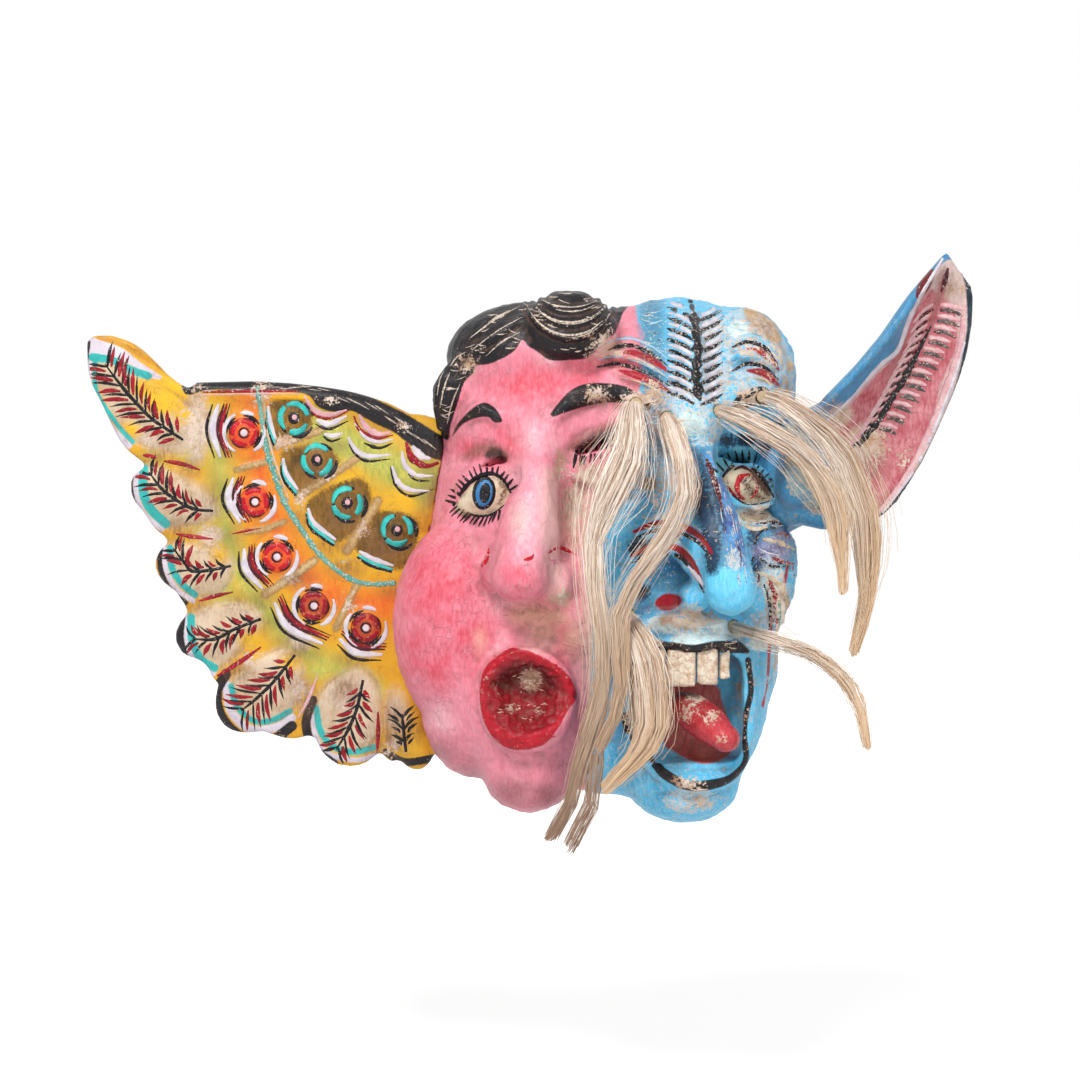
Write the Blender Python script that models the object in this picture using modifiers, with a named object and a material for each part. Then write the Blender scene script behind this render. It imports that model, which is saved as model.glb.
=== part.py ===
"""Two-faced carved dance mask: shell with a puffing face and a laughing devil, wing, ear, teeth, tongue, hair tufts.

Sizes are in millimetres from the middle of the mask, x to the viewer's right, y to the back, z up. The part's own
frame is in metres, with its origin on the flat back rim above the hollow, where the mask hangs on the wall.
"""
import math

import bmesh
import bpy
from mathutils import Matrix, Vector
from mathutils.bvhtree import BVHTree

MM = 0.001
GAP = 0.3                       # clearance between pieces that seat in each other
RIM_TOP = 117.0                 # height of the origin above the middle of the mask

# Hollow behind the faces
HOLLOW_CENTRE = (2.0, 0.0, -4.0)
HOLLOW_RADII = (78.0, 58.0, 108.0)
CORD_HOLE = 5.0                 # diameter of the holes for a head cord
CORD_HOLE_Y = -10.0
CORD_HOLE_Z = 6.0

# Devil's mouth
MOUTH_CENTRE = (46.5, -92.0, -75.0)
MOUTH_SIZE = (57.0, 60.0, 54.0)
MOUTH_CORNER = 8.0
TOOTH_TOP = -44.0
TOOTH_DEPTH = 6.0
TOOTH_ARC_Y = -91.0             # front of the row at its middle
TOOTH_ARC_DROP = 0.010          # how fast the row runs back to the sides, per mm squared

# Puffing mouth
LIPS_CENTRE = (-34.0, -70.0)
LIPS_RADII = (19.0, 20.5)
LIP_THICKNESS = 6.5
LIPS_FRONT = -106.0             # just before the lips
LIPS_BOWL = 28.0                # how far the bowl goes in from there

# Wing board
WING_BACK = -17.0
WING_FRONT = -27.0
TENON_Y = (-27.0, -19.0)

# Hair tufts
HOLE_DIAMETER = 7.0
HOLE_DEPTH = 15.0
BINDING_DIAMETER = 6.2
BINDING_PROUD = 2.5
TUFT_ROOT = 3.0                 # radius of the hair where it leaves its binding

# How finely each carved piece is faceted, before its seats are cut
SHELL_TRIANGLES = 4900
WING_TRIANGLES = 2000
EAR_TRIANGLES = 1200
TONGUE_TRIANGLES = 300

NAIL_SHANK = 2.0
NAIL_HEAD = 5.0
NAIL_HEAD_THICK = 1.2

PINK = (0.86, 0.28, 0.39)
YELLOW = (0.74, 0.40, 0.03)
EAR_RED = (0.43, 0.07, 0.09)
TONGUE_RED = (0.40, 0.02, 0.03)
BONE = (0.72, 0.55, 0.38)
HAIR = (0.69, 0.59, 0.47)
THREAD = (0.50, 0.33, 0.16)
IRON = (0.12, 0.10, 0.09)

for old in list(bpy.data.objects):
    bpy.data.objects.remove(old)
PARTS = bpy.data.collections.new("folk_mask")
TOOLS = bpy.data.collections.new("cutters")
bpy.context.scene.collection.children.link(PARTS)
bpy.context.scene.collection.children.link(TOOLS)


def at(x, y, z):
    """A point given from the middle of the mask, in the part's frame."""
    return Vector((x, y, z - RIM_TOP)) * MM


def material(name, colour, roughness=0.6, metallic=0.0):
    paint = bpy.data.materials.new(name)
    paint.use_nodes = True
    shader = paint.node_tree.nodes["Principled BSDF"]
    shader.inputs["Base Color"].default_value = (*colour, 1.0)
    shader.inputs["Roughness"].default_value = roughness
    shader.inputs["Metallic"].default_value = metallic
    return paint


def collect(obj, collection):
    """Moves an object into one collection."""
    for old in list(obj.users_collection):
        old.objects.unlink(obj)
    collection.objects.link(obj)
    return obj


def mesh_object(name, mesh, collection=TOOLS):
    obj = bpy.data.objects.new(name, mesh)
    collection.objects.link(obj)
    return obj


def baked(obj, name=None):
    """The object as its modifiers leave it, as a plain mesh at the origin, with its doubles merged."""
    graph = bpy.context.evaluated_depsgraph_get()
    mesh = bpy.data.meshes.new_from_object(obj.evaluated_get(graph))
    mesh.transform(obj.matrix_world)
    work = bmesh.new()
    work.from_mesh(mesh)
    bmesh.ops.remove_doubles(work, verts=work.verts, dist=0.000002)
    work.to_mesh(mesh)
    work.free()
    name = name or obj.name
    bpy.data.objects.remove(obj)
    return mesh_object(name, mesh)


def blob(centre, radii, turn=(0.0, 0.0, 0.0), fine=32):
    """A lump of clay: a sphere stretched to its radii and turned in degrees about x, y and z."""
    bpy.ops.mesh.primitive_uv_sphere_add(
        segments=fine, ring_count=fine // 2 + 2, radius=1.0, location=at(*centre),
        rotation=[math.radians(angle) for angle in turn])
    obj = bpy.context.object
    obj.scale = Vector(radii) * MM
    return baked(collect(obj, TOOLS))


def block(centre, size, corner=0.0, segments=1):
    """A box of the given size, with its corners rounded if asked."""
    bpy.ops.mesh.primitive_cube_add(size=1.0, location=(0.0, 0.0, 0.0))
    obj = collect(bpy.context.object, TOOLS)
    obj.data.transform(Matrix.Diagonal((*(Vector(size) * MM), 1.0)))
    obj.location = at(*centre)
    bpy.context.view_layer.update()
    if corner:
        bevel = obj.modifiers.new("corner", "BEVEL")
        bevel.width = corner * MM
        bevel.segments = segments
    return baked(obj)


def bar(start, end, diameter, sides=20):
    """A straight round bar between two points."""
    first = at(*start)
    last = at(*end)
    span = last - first
    bpy.ops.mesh.primitive_cylinder_add(
        vertices=sides, radius=diameter / 2 * MM, depth=span.length, location=(first + last) / 2)
    obj = collect(bpy.context.object, TOOLS)
    obj.rotation_mode = "QUATERNION"
    obj.rotation_quaternion = span.to_track_quat("Z", "Y")
    bpy.context.view_layer.update()
    return baked(obj)


def roll(points, radii, closed=False, sides=3, steps=8):
    """A rolled bar of clay on a smooth curve through the points, with a radius at each."""
    curve = bpy.data.curves.new("roll", "CURVE")
    curve.dimensions = "3D"
    curve.bevel_depth = MM
    curve.bevel_resolution = sides
    curve.resolution_u = steps
    curve.use_fill_caps = True
    spline = curve.splines.new("BEZIER")
    spline.use_cyclic_u = closed
    spline.bezier_points.add(len(points) - 1)
    for knot, point, radius in zip(spline.bezier_points, points, radii):
        knot.co = at(*point)
        knot.radius = radius
        knot.handle_left_type = "AUTO"
        knot.handle_right_type = "AUTO"
    obj = bpy.data.objects.new("roll", curve)
    TOOLS.objects.link(obj)
    bpy.context.view_layer.update()
    return baked(obj)


def outline(points, low, high):
    """A flat board of a closed outline in x and z, from y = low to y = high."""
    curve = bpy.data.curves.new("outline", "CURVE")
    curve.dimensions = "2D"
    curve.fill_mode = "BOTH"
    curve.extrude = abs(high - low) / 2 * MM
    spline = curve.splines.new("BEZIER")
    spline.use_cyclic_u = True
    spline.resolution_u = 6
    spline.bezier_points.add(len(points) - 1)
    for knot, (x, z) in zip(spline.bezier_points, points):
        knot.co = (x * MM, z * MM, 0.0)
        knot.handle_left_type = "AUTO"
        knot.handle_right_type = "AUTO"
    obj = bpy.data.objects.new("outline", curve)
    TOOLS.objects.link(obj)
    obj.rotation_euler = (math.radians(90.0), 0.0, 0.0)
    obj.location = at(0.0, (low + high) / 2, 0.0)
    bpy.context.view_layer.update()
    return baked(obj)


def fuse(pieces, name, voxel, smooth):
    """The clay pieces as one closed solid, fused on a voxel grid and smoothed."""
    work = bmesh.new()
    for piece in pieces:
        work.from_mesh(piece.data)
        bpy.data.objects.remove(piece)
    mesh = bpy.data.meshes.new(name)
    work.to_mesh(mesh)
    work.free()
    obj = mesh_object(name, mesh)
    grid = obj.modifiers.new("fuse", "REMESH")
    grid.mode = "VOXEL"
    grid.voxel_size = voxel * MM
    soft = obj.modifiers.new("smooth", "SMOOTH")
    soft.factor = 0.5
    soft.iterations = smooth
    return baked(obj, name)


def cut(obj, cutters, how="DIFFERENCE"):
    """The object with each cutter taken away, or added."""
    name = obj.name
    for cutter in cutters:
        cutter.hide_render = True
        cutter.display_type = "WIRE"
        step = obj.modifiers.new("cut", "BOOLEAN")
        step.operation = how
        step.object = cutter
    result = baked(obj, name)
    for cutter in cutters:
        bpy.data.objects.remove(cutter)
    return result


def thinned(obj, triangles):
    """The object with about this many triangles."""
    now = sum(len(face.vertices) - 2 for face in obj.data.polygons)
    thin = obj.modifiers.new("thin", "DECIMATE")
    thin.ratio = min(1.0, triangles / now)
    return baked(obj, obj.name)


def flat_back(obj, y):
    """Saws the object off at a plane square to y and closes the sawn face."""
    work = bmesh.new()
    work.from_mesh(obj.data)
    geometry = work.verts[:] + work.edges[:] + work.faces[:]
    sawn = bmesh.ops.bisect_plane(
        work, geom=geometry, plane_co=(0.0, y * MM, 0.0), plane_no=(0.0, 1.0, 0.0), clear_outer=True)
    edges = [piece for piece in sawn["geom_cut"] if isinstance(piece, bmesh.types.BMEdge)]
    bmesh.ops.edgenet_fill(work, edges=edges)
    bmesh.ops.recalc_face_normals(work, faces=work.faces)
    work.to_mesh(obj.data)
    work.free()
    return obj


def grown(obj, amount):
    """A copy of the object with its surface moved out by the amount."""
    copy = mesh_object(obj.name + "_grown", obj.data.copy())
    moved = [vertex.co + vertex.normal * amount * MM for vertex in copy.data.vertices]
    for vertex, place in zip(copy.data.vertices, moved):
        vertex.co = place
    return copy


def main_body(obj):
    """The object without the slivers that cutting can leave: only its largest body stays."""
    work = bmesh.new()
    work.from_mesh(obj.data)
    left = set(work.verts)
    bodies = []
    while left:
        stack = [left.pop()]
        body = list(stack)
        while stack:
            vertex = stack.pop()
            near = [edge.other_vert(vertex) for edge in vertex.link_edges]
            fresh = [other for other in near if other in left]
            left.difference_update(fresh)
            stack += fresh
            body += fresh
        bodies.append(body)
    bodies.sort(key=len)
    for sliver in bodies[:-1]:
        bmesh.ops.delete(work, geom=sliver, context="VERTS")
    work.to_mesh(obj.data)
    work.free()
    return obj


def finish(obj, name, paint, angle=35.0):
    """Names a finished piece, gives it its paint and puts it among the parts."""
    obj.name = name
    obj.data.name = name
    obj.hide_render = False
    obj.data.materials.clear()
    obj.data.materials.append(paint)
    obj.data.shade_smooth()
    obj.data.set_sharp_from_angle(angle=math.radians(angle))
    return collect(obj, PARTS)


# The two heads, roughed out
def rough_heads():
    lumps = [
        blob((-28, 4, 2), (63, 82, 124)),           # puffing head
        blob((6, 4, 4), (62, 83, 122)),             # between the heads
        blob((40, 4, 0), (64, 82, 128)),            # devil's head
        blob((-26, -12, 72), (56, 58, 54)),         # puffing forehead
        blob((46, -8, 82), (58, 64, 59)),           # devil's forehead
        blob((14, -14, 98), (26, 40, 38)),          # crown between the foreheads
        blob((78, -20, 95), (32, 40, 40)),          # devil's right temple
        blob((-68, -44, -34), (37, 37, 56)),        # puffed cheek
        blob((-60, -38, -80), (30, 32, 36)),        # jaw under the cheek
        blob((-34, -56, -74), (38, 34, 44)),        # muzzle behind the lips
        blob((-33, -60, -110), (24.5, 25, 21)),     # puffing chin
        blob((48, -54, -70), (43, 40, 54)),         # devil's muzzle
        blob((46.5, -60, -115), (29.5, 27, 21)),    # devil's chin
        blob((8, -48, -106), (26, 22, 17)),         # between the chins
        blob((-10, -56, -22), (24, 30, 34)),        # cheek between the faces
        blob((30, -56, 6), (28, 30, 24)),           # devil's left cheek
        blob((86.5, -42, -5), (21, 28, 34)),        # devil's right cheek
        blob((80, -40, -54), (18, 26, 30)),         # devil's right jaw
        roll([(-27, -62, 66), (-29, -74, 44), (-33, -84, 14), (-36, -86, -8)], [9, 12, 17, 18]),
        roll([(51, -66, 72), (55, -80, 44), (60, -92, 10), (63, -94, -12)], [10, 12, 15, 16]),
    ]
    return fuse(lumps, "heads", 3.0, 14)


HEADS = rough_heads()
WORK = bmesh.new()
WORK.from_mesh(HEADS.data)
SKIN = BVHTree.FromBMesh(WORK)
WORK.free()


def skin_y(x, z):
    """Where the roughed-out front lies at x and z."""
    start = at(x, -200.0, z)
    hit = SKIN.ray_cast(start, Vector((0.0, 1.0, 0.0)))[0]
    return hit.y / MM if hit else -30.0


def draped(points, radii, proud=0.0, closed=False):
    """A roll of clay laid on the roughed-out front along points in x and z."""
    return roll([(x, skin_y(x, z) - proud, z) for x, z in points], radii, closed)


# Hair of the puffing face
CURL_CENTRE = (-12.5, 134.0)
HAIR_GROOVE = 1.5
TOP_EDGE_Y = -46.0             # depth of the hair's top edge


def hair_lumps():
    """Three lobes of hair over the brow and the cap behind them."""
    return [
        blob((-12.5, -50, 118), (26, 29, 21)),
        blob((-30, -32, 107), (47, 36, 29)),
        roll([(-66, -48, 98), (-50, -56, 111), (-34, -56, 121)], [4, 10.5, 9]),
        roll([(-64, -46, 107), (-74, -44, 87), (-77, -38, 67)], [6, 10.5, 5]),
    ]


def hair_grooves():
    """Lines that the carver cut along the locks: nested bows on the front curl, long lines on the side locks."""
    lines = []
    for band in range(1, 5):
        wide = 9.5 + 3.4 * band
        deep = 6.8 * band
        bow = []
        for step in range(7):
            turn = math.pi * (1.1 + 0.8 * step / 6.0)
            bow.append((CURL_CENTRE[0] + wide * math.cos(turn), CURL_CENTRE[1] + deep * math.sin(turn)))
        lines.append(bow)
    lines += [
        [(-64, 103), (-50, 113), (-38, 122)],
        [(-60, 100), (-47, 108), (-38, 116)],
        [(-68, 102), (-75, 88), (-78, 72)],
        [(-64, 101), (-70, 86), (-74, 70)],
    ]
    return [roll([(x, front_y(x, z), z) for x, z in line],
                 [0.5, *[HAIR_GROOVE] * (len(line) - 2), 0.5], sides=0, steps=2) for line in lines]


# Features added on the roughed-out front
def nose(points, radii, tip, wings):
    pieces = [roll(points, radii), blob(*tip)]
    return pieces + [blob(*wing) for wing in wings]


def broad_features():
    """Noses, lips, brow of the devil and the curled cheek: forms that run softly into the faces."""
    ring = []
    for step in range(12):
        turn = 2.0 * math.pi * step / 12.0
        ring.append((LIPS_CENTRE[0] + LIPS_RADII[0] * math.cos(turn),
                     LIPS_CENTRE[1] + LIPS_RADII[1] * math.sin(turn)))
    return [
        *nose([(-27, -68, 62), (-29, -82, 42), (-33, -93, 14), (-37, -100, -8)], [5, 8, 11.5, 14.5],
              ((-37, -100, -9), (15, 14, 13)),
              [((-50, -83, -6), (9, 10, 10)), ((-20, -83, -12), (11, 11, 11))]),
        *nose([(52, -76, 66), (56, -89, 44), (62, -103, 12), (66, -110, -12)], [6, 8, 11, 13],
              ((66, -110, -14), (13.5, 13, 13.5)),
              [((49, -90, -19), (10, 10, 8)), ((79, -80, -20), (9, 12, 8))]),
        draped(ring, [LIP_THICKNESS] * 12, 2.0, closed=True),
        blob((47, -74, 70), (20, 18, 16)),
        blob((87, -54, 8), (11, 15, 12)),
        draped([(12, -34), (46, -31), (78, -34)], [1, 5, 1], 1.0),
        draped([(60, 73), (72, 83), (85, 82), (97, 68)], [5, 9, 9, 5], 3.0),
        draped([(18, 80), (30, 78), (40, 72)], [5, 7, 6], 3.0),
        draped([(47, 128), (49, 108), (51, 88), (51, 74)], [5, 8, 8, 1]),
    ]


def fine_features():
    """Brows, wrinkles, cheek folds and the edges of the devil's lips."""
    return [
        draped([(-72, 62), (-58, 77), (-46, 70)], [0.8, 4.5, 1.5], 0.8),
        draped([(-22, 70), (-6, 85), (10, 87), (24, 79)], [1.5, 6.5, 6.5, 4], 1.0),
        draped([(6, 106), (22, 104), (36, 95)], [0.6, 3.4, 0.6], 1.5),
        draped([(2, 97), (20, 94), (36, 86)], [0.6, 3.4, 0.6], 1.5),
        draped([(68, 105), (82, 103), (94, 92)], [0.6, 3.4, 0.6], 1.5),
        draped([(68, 94), (82, 92), (94, 82)], [0.6, 3.4, 0.6], 1.5),
        draped([(20, 14), (35, 19), (50, 8), (56, -8)], [0.6, 4.0, 4.0, 0.6], 2.0),
        draped([(18, 3), (34, 8), (48, -5), (52, -14)], [0.6, 4.0, 4.0, 0.6], 2.5),
        draped([(90, -8), (89, -35), (86, -62)], [0.6, 3.5, 0.6], 0.8),
        draped([(98, 2), (96, -24), (92, -50)], [0.6, 3.5, 0.6], 0.8),
        draped([(14, -48), (27, -44), (50, -43), (74, -46), (78, -60), (78, -86), (72, -106),
                (54, -112), (32, -105), (17, -86), (13, -66)],
               [3.5, 4, 4.5, 4, 3, 3, 4, 5.5, 5, 3, 3], 1.0, closed=True),
    ]


EYES = (
    # centre of the ball, its radii, turn, socket centre, socket radii
    ((-55, -60, 34), (16, 14, 14), -12.0, (-55, -80, 41), (19, 15, 20)),
    ((10, -66, 43), (25, 15, 13), 0.0, (11, -88, 48), (28, 17, 18)),
    ((77, -57, 37), (18, 14, 13), 25.0, (77, -80, 43), (22, 17, 20)),
)
LIDS = (
    # which eye, then a lid's edge in x and z
    (0, ((-70, 29), (-64, 40), (-55, 44), (-46, 41), (-42, 33))),
    (0, ((-69, 28), (-59, 22), (-49, 24), (-42, 32))),
    (1, ((-12, 43), (0, 39), (10, 37), (22, 37), (32, 40))),
    (2, ((62, 42), (68, 47), (76, 48), (86, 42), (93, 31))),
    (2, ((62, 41), (69, 31), (80, 27), (93, 30))),
)
LID_ROLL = 2.2
SIGHT_SLOTS = (
    # middle of the slot in x and z, half width, half height, slope
    ((-51, 53), 8.0, 2.8, -8.0),
    ((2, 60), 12.5, 3.0, -14.0),
    ((72, 59), 10.0, 3.2, -6.0),
)
SLOT_MIDDLE = -58.0
SLOT_REACH = 60.0
SLOT_MOUTH = 16.0               # how far the slots open before their middle
SLOT_FALL = 20.0                # they fall to the wearer's eyes by this angle


def ball_front(eye, x, z):
    """Where an eye's ball lies at x and z, counted as an upright one."""
    centre, radii = EYES[eye][:2]
    reach = 1.0 - ((x - centre[0]) / radii[0]) ** 2 - ((z - centre[2]) / radii[2]) ** 2
    return centre[1] - radii[1] * math.sqrt(max(0.08, reach))


def carved_front():
    """Both faces with their eyes, noses, lips, folds and hair, as one solid."""
    sockets = [blob(centre, radii, (0, 0, turn)) for _, _, turn, centre, radii in EYES]
    sockets.append(blob((36, -96, -21), (9, 12, 6)))                    # devil's open nostril
    heads = cut(fuse([HEADS, *broad_features()], "heads", 2.4, 5), sockets)
    balls = [blob(centre, radii, (0, 0, turn)) for centre, radii, turn, _, _ in EYES]
    lids = [roll([(x, ball_front(eye, x, z), z) for x, z in edge], [LID_ROLL] * len(edge)) for eye, edge in LIDS]
    return fuse([heads, *balls, *lids, *fine_features(), *hair_lumps()], "front", 1.6, 1)


# Where each tuft leaves the face, its route, how far its locks spread, and how it lifts
TUFTS = {
    "brow_tuft_1": dict(
        hole=(21, 79), locks=6, spread=9, thick=3.2, triangles=360,
        route=[(20, -100, 70), (15, -104, 50), (6, -104, 27), (-1, -102, 4), (-4, -101, -20), (0, -101, -46),
               (0, -101, -76), (-6, -98, -104), (-14, -92, -124), (-22, -88, -141)]),
    "brow_tuft_2": dict(
        hole=(36, 71), locks=3, spread=5, thick=3.2, triangles=260,
        route=[(42, -108, 60), (50, -114, 38), (49, -115, 20), (38, -112, 0), (27, -109, -13), (19, -107, -20)]),
    "brow_tuft_3": dict(
        hole=(63, 75), locks=4, spread=6, thick=3.2, triangles=260,
        route=[(74, -104, 71), (90, -105, 60), (103, -102, 45), (113, -98, 30), (121, -94, 14), (125, -90, -4),
               (124, -87, -16)]),
    "brow_tuft_4": dict(
        hole=(86, 83), locks=4, spread=7, thick=3.2, triangles=280,
        route=[(101, -88, 76), (117, -86, 61), (130, -82, 41), (138, -77, 20), (142, -73, 0), (137, -70, -21),
               (129, -68, -47)]),
    "moustache_tuft_left": dict(
        hole=(17, -28), locks=4, spread=8, thick=3.2, triangles=280,
        route=[(24, -104, -36), (34, -107, -62), (36, -107, -80), (29, -106, -97), (17, -103, -110), (8, -99, -120),
               (2, -95, -136)]),
    "moustache_tuft_right": dict(
        hole=(71, -34), locks=3, spread=5, thick=2.8, triangles=240,
        route=[(84, -100, -36), (98, -98, -42), (112, -94, -50), (125, -89, -62), (132, -85, -77), (135, -82, -94)]),
}


def hole_mouth(name):
    """The middle of a tuft's hole where it opens on the finished front."""
    x, z = TUFTS[name]["hole"]
    return (x, front_y(x, z), z)


# Shell
def sawn_shell(front):
    """The carved front, thinned, sawn flat behind."""
    shell = flat_back(front, 1.5)
    shell = thinned(shell, SHELL_TRIANGLES)
    return flat_back(shell, 0.0)


def mouth_cutters():
    ring = blob((LIPS_CENTRE[0], LIPS_FRONT, LIPS_CENTRE[1]), (LIPS_RADII[0] - 1.5, LIPS_BOWL, LIPS_RADII[1] - 1.5), fine=18)
    hole = block(MOUTH_CENTRE, MOUTH_SIZE, MOUTH_CORNER, 4)
    return [ring, hole]


def slot_cutters():
    cutters = []
    fall = SLOT_MOUTH * math.tan(math.radians(SLOT_FALL))
    for (x, z), wide, high, slope in SIGHT_SLOTS:
        cutters.append(blob((x, SLOT_MIDDLE, z - fall), (wide, SLOT_REACH, high), (-SLOT_FALL, slope, 0), fine=12))
    return cutters


def tooth_y(x):
    """The front of the row of teeth at x."""
    return TOOTH_ARC_Y + TOOTH_ARC_DROP * (x - MOUTH_CENTRE[0]) ** 2


TEETH = (
    # left side, right side, lower end, set back from the row
    (19.5, 25.0, -60.0, 1.0),
    (25.6, 30.4, -61.0, 0.5),
    (31.0, 35.4, -61.5, 0.5),
    (36.0, 50.4, -63.5, 0.0),
    (51.2, 61.6, -62.5, 0.0),
    (62.6, 68.0, -60.0, 2.0),
)
WING_TENONS = ((-98.0, -79.0, 18.0, 38.0), (-106.0, -76.5, -58.0, -30.0))
WING_NAILS = {"wing_nail_upper": (-83.0, 28.0), "wing_nail_lower": (-80.5, -44.0)}
EAR_TENON = (83.0, 116.0, 30.0, 54.0)
EAR_TENON_Y = (-38.0, -26.0)
EAR_NAILS = {"ear_nail_upper": (90.0, 48.0), "ear_nail_lower": (90.0, 36.0)}
NAIL_END = {"wing": -25.0, "ear": -33.0}
TONGUE_ROOT = (42.0, -74.0)
TONGUE_PEG = 9.0


def tenon_block(tenon, depth, grow):
    left, right, low, high = tenon
    front, back = depth
    centre = ((left + right) / 2, (front + back) / 2, (low + high) / 2)
    size = (right - left + 2 * grow, back - front + 2 * grow, high - low + 2 * grow)
    return block(centre, size)


def nail_bore(x, z, end):
    return [bar((x, 4.0, z), (x, end - 0.6, z), NAIL_SHANK + 2 * GAP, 8),
            bar((x, 4.0, z), (x, -NAIL_HEAD_THICK - 2 * GAP, z), NAIL_HEAD + 2 * GAP, 10)]


def seat_cutters():
    """Mortises, nail holes, tuft holes, the groove for the teeth, the tongue's hole and the cord holes."""
    cutters = [tenon_block(tenon, TENON_Y, GAP) for tenon in WING_TENONS]
    cutters.append(tenon_block(EAR_TENON, EAR_TENON_Y, GAP))
    for x, z in WING_NAILS.values():
        cutters += nail_bore(x, z, NAIL_END["wing"])
    for x, z in EAR_NAILS.values():
        cutters += nail_bore(x, z, NAIL_END["ear"])
    for name in TUFTS:
        x, y, z = hole_mouth(name)
        cutters.append(bar((x, y - 12.0, z), (x, y + HOLE_DEPTH, z), HOLE_DIAMETER, 12))
    for left, right, _, back in TEETH:
        front = tooth_y((left + right) / 2) + back
        cutters.append(block(((left + right) / 2, front + TOOTH_DEPTH / 2, TOOTH_TOP - 4.0),
                             (right - left + 4 * GAP, TOOTH_DEPTH + 2 * GAP, 8.0 + 2 * GAP)))
    x, z = TONGUE_ROOT
    cutters.append(bar((x, -70.0, z), (x, -52.0, z), TONGUE_PEG + 2 * GAP, 12))
    for side in (-1.0, 1.0):
        cutters.append(bar((side * 50.0, CORD_HOLE_Y, CORD_HOLE_Z), (side * 125.0, CORD_HOLE_Y, CORD_HOLE_Z),
                           CORD_HOLE, 10))
    return cutters


# Wing
FEATHERS = (
    # inner end, tip, half width, and the outline's points after the feather, all in x and z
    ((-212, 62), (-266, 116), 15, ((-261, 82), (-240, 52))),
    ((-198, 26), (-243, 41), 18, ((-226, 11),)),
    ((-188, -5), (-230, -2), 18, ((-216, -26),)),
    ((-174, -31), (-219, -44), 18, ((-202, -63),)),
    ((-156, -52), (-195, -86), 22, ((-160, -96),)),
    ((-122, -62), (-132, -108), 23, ((-107, -108),)),
    ((-98, -82), (-92, -110), 12, ((-78, -104),)),
)
LOBE_SIDE = 0.70                # shares of the half width that round a feather's end
LOBE_BACK = 0.45
FLOWER_ROWS = (
    # places in x and z, size of the raised cell
    (((-185, 67), (-179, 31), (-167, 2), (-148, -24), (-120, -36)), 15.0),
    (((-158, 74), (-146, 52), (-130, 30), (-104, 15)), 12.5),
)
WING_TOP = ((-212, 89.5), (-176, 88), (-150, 85.5), (-127, 81.5), (-103, 73), (-80, 54))


def wing_board():
    """The board with scalloped feather tips, raised feathers and flower cells, and a rounded top edge."""
    edge = [*reversed(WING_TOP)]
    for inner, tip, half, after in FEATHERS:
        along = Vector(tip) - Vector(inner)
        along.normalize()
        side = Vector((along.y, -along.x)) * half * LOBE_SIDE
        back = Vector(tip) - along * half * LOBE_BACK
        edge += [tuple(back + side), tip, tuple(back - side), *after]
    edge += [(-66, -60), (-66, 40)]
    middle = (WING_FRONT + WING_BACK) / 2
    pieces = [outline(edge, WING_FRONT, WING_BACK)]
    for inner, tip, half, _ in FEATHERS:
        run = math.hypot(tip[0] - inner[0], tip[1] - inner[1])
        lean = math.degrees(math.atan2(tip[0] - inner[0], tip[1] - inner[1]))
        centre = ((inner[0] + tip[0]) / 2, WING_FRONT + 3.0, (inner[1] + tip[1]) / 2)
        pieces.append(blob(centre, (half * 0.95, 6.5, run / 2 + 3.0), (0, lean, 0), fine=24))
    for places, size in FLOWER_ROWS:
        pieces += [blob((x, WING_FRONT + 4.0, z), (size, 7.0, size), fine=20) for x, z in places]
    pieces.append(blob((-94, WING_FRONT + 3.0, 44), (30, 7.0, 34), fine=24))
    pieces.append(roll([(x, middle - 1.0, z) for x, z in WING_TOP], [5, 7, 7.5, 7.5, 7, 6]))
    board = fuse(pieces, "wing", 1.8, 2)
    board = flat_back(board, WING_BACK + 1.0)
    return thinned(board, WING_TRIANGLES)


def make_wing(fit):
    wing = cut(wing_board(), [fit])
    wing = cut(wing, [tenon_block(tenon, TENON_Y, 0.0) for tenon in WING_TENONS], "UNION")
    bores = []
    for x, z in WING_NAILS.values():
        bores += nail_bore(x, z, NAIL_END["wing"])
    return finish(cut(wing, bores), "wing", material("wing_paint", YELLOW))


# Ear
EAR_OUTLINE = (
    # height, left edge, right edge
    (8, 116, 138), (20, 104, 151), (35, 98, 162), (50, 100, 172), (69, 108, 181), (83, 119, 187), (99, 135, 193),
    (115, 149, 196.5), (130, 159.5, 198), (143, 169, 197), (155, 176.5, 191.5), (161, 182, 188),
)
EAR_Y = -44.0
EAR_DEPTH = 22.0
EAR_YAW = 22.0
EAR_SPREAD = 1.06               # makes up for the width that the turn takes away
EAR_WALL = 5.0
EAR_DISH = 5.0                  # how far the hollow of the ear stands forward
EAR_FACE = -3.0                 # where the open side is sawn off, from the ear's middle plane
FACE_BLOCK = (0.12, 0.10, 0.40)
EAR_NECK = (114, -34, 38)
EAR_NECK_RADII = (26, 15, 25)
EAR_NECK_LEAN = 20.0


def ear_edges(height):
    """The middle and the half width of the ear at a height."""
    rows = EAR_OUTLINE
    number = max(0, min(len(rows) - 2, sum(row[0] <= height for row in rows) - 1))
    first, last = rows[number], rows[number + 1]
    share = (height - first[0]) / (last[0] - first[0])
    left = first[1] + (last[1] - first[1]) * share
    right = first[2] + (last[2] - first[2]) * share
    return (left + right) / 2, (right - left) / 2


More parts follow.
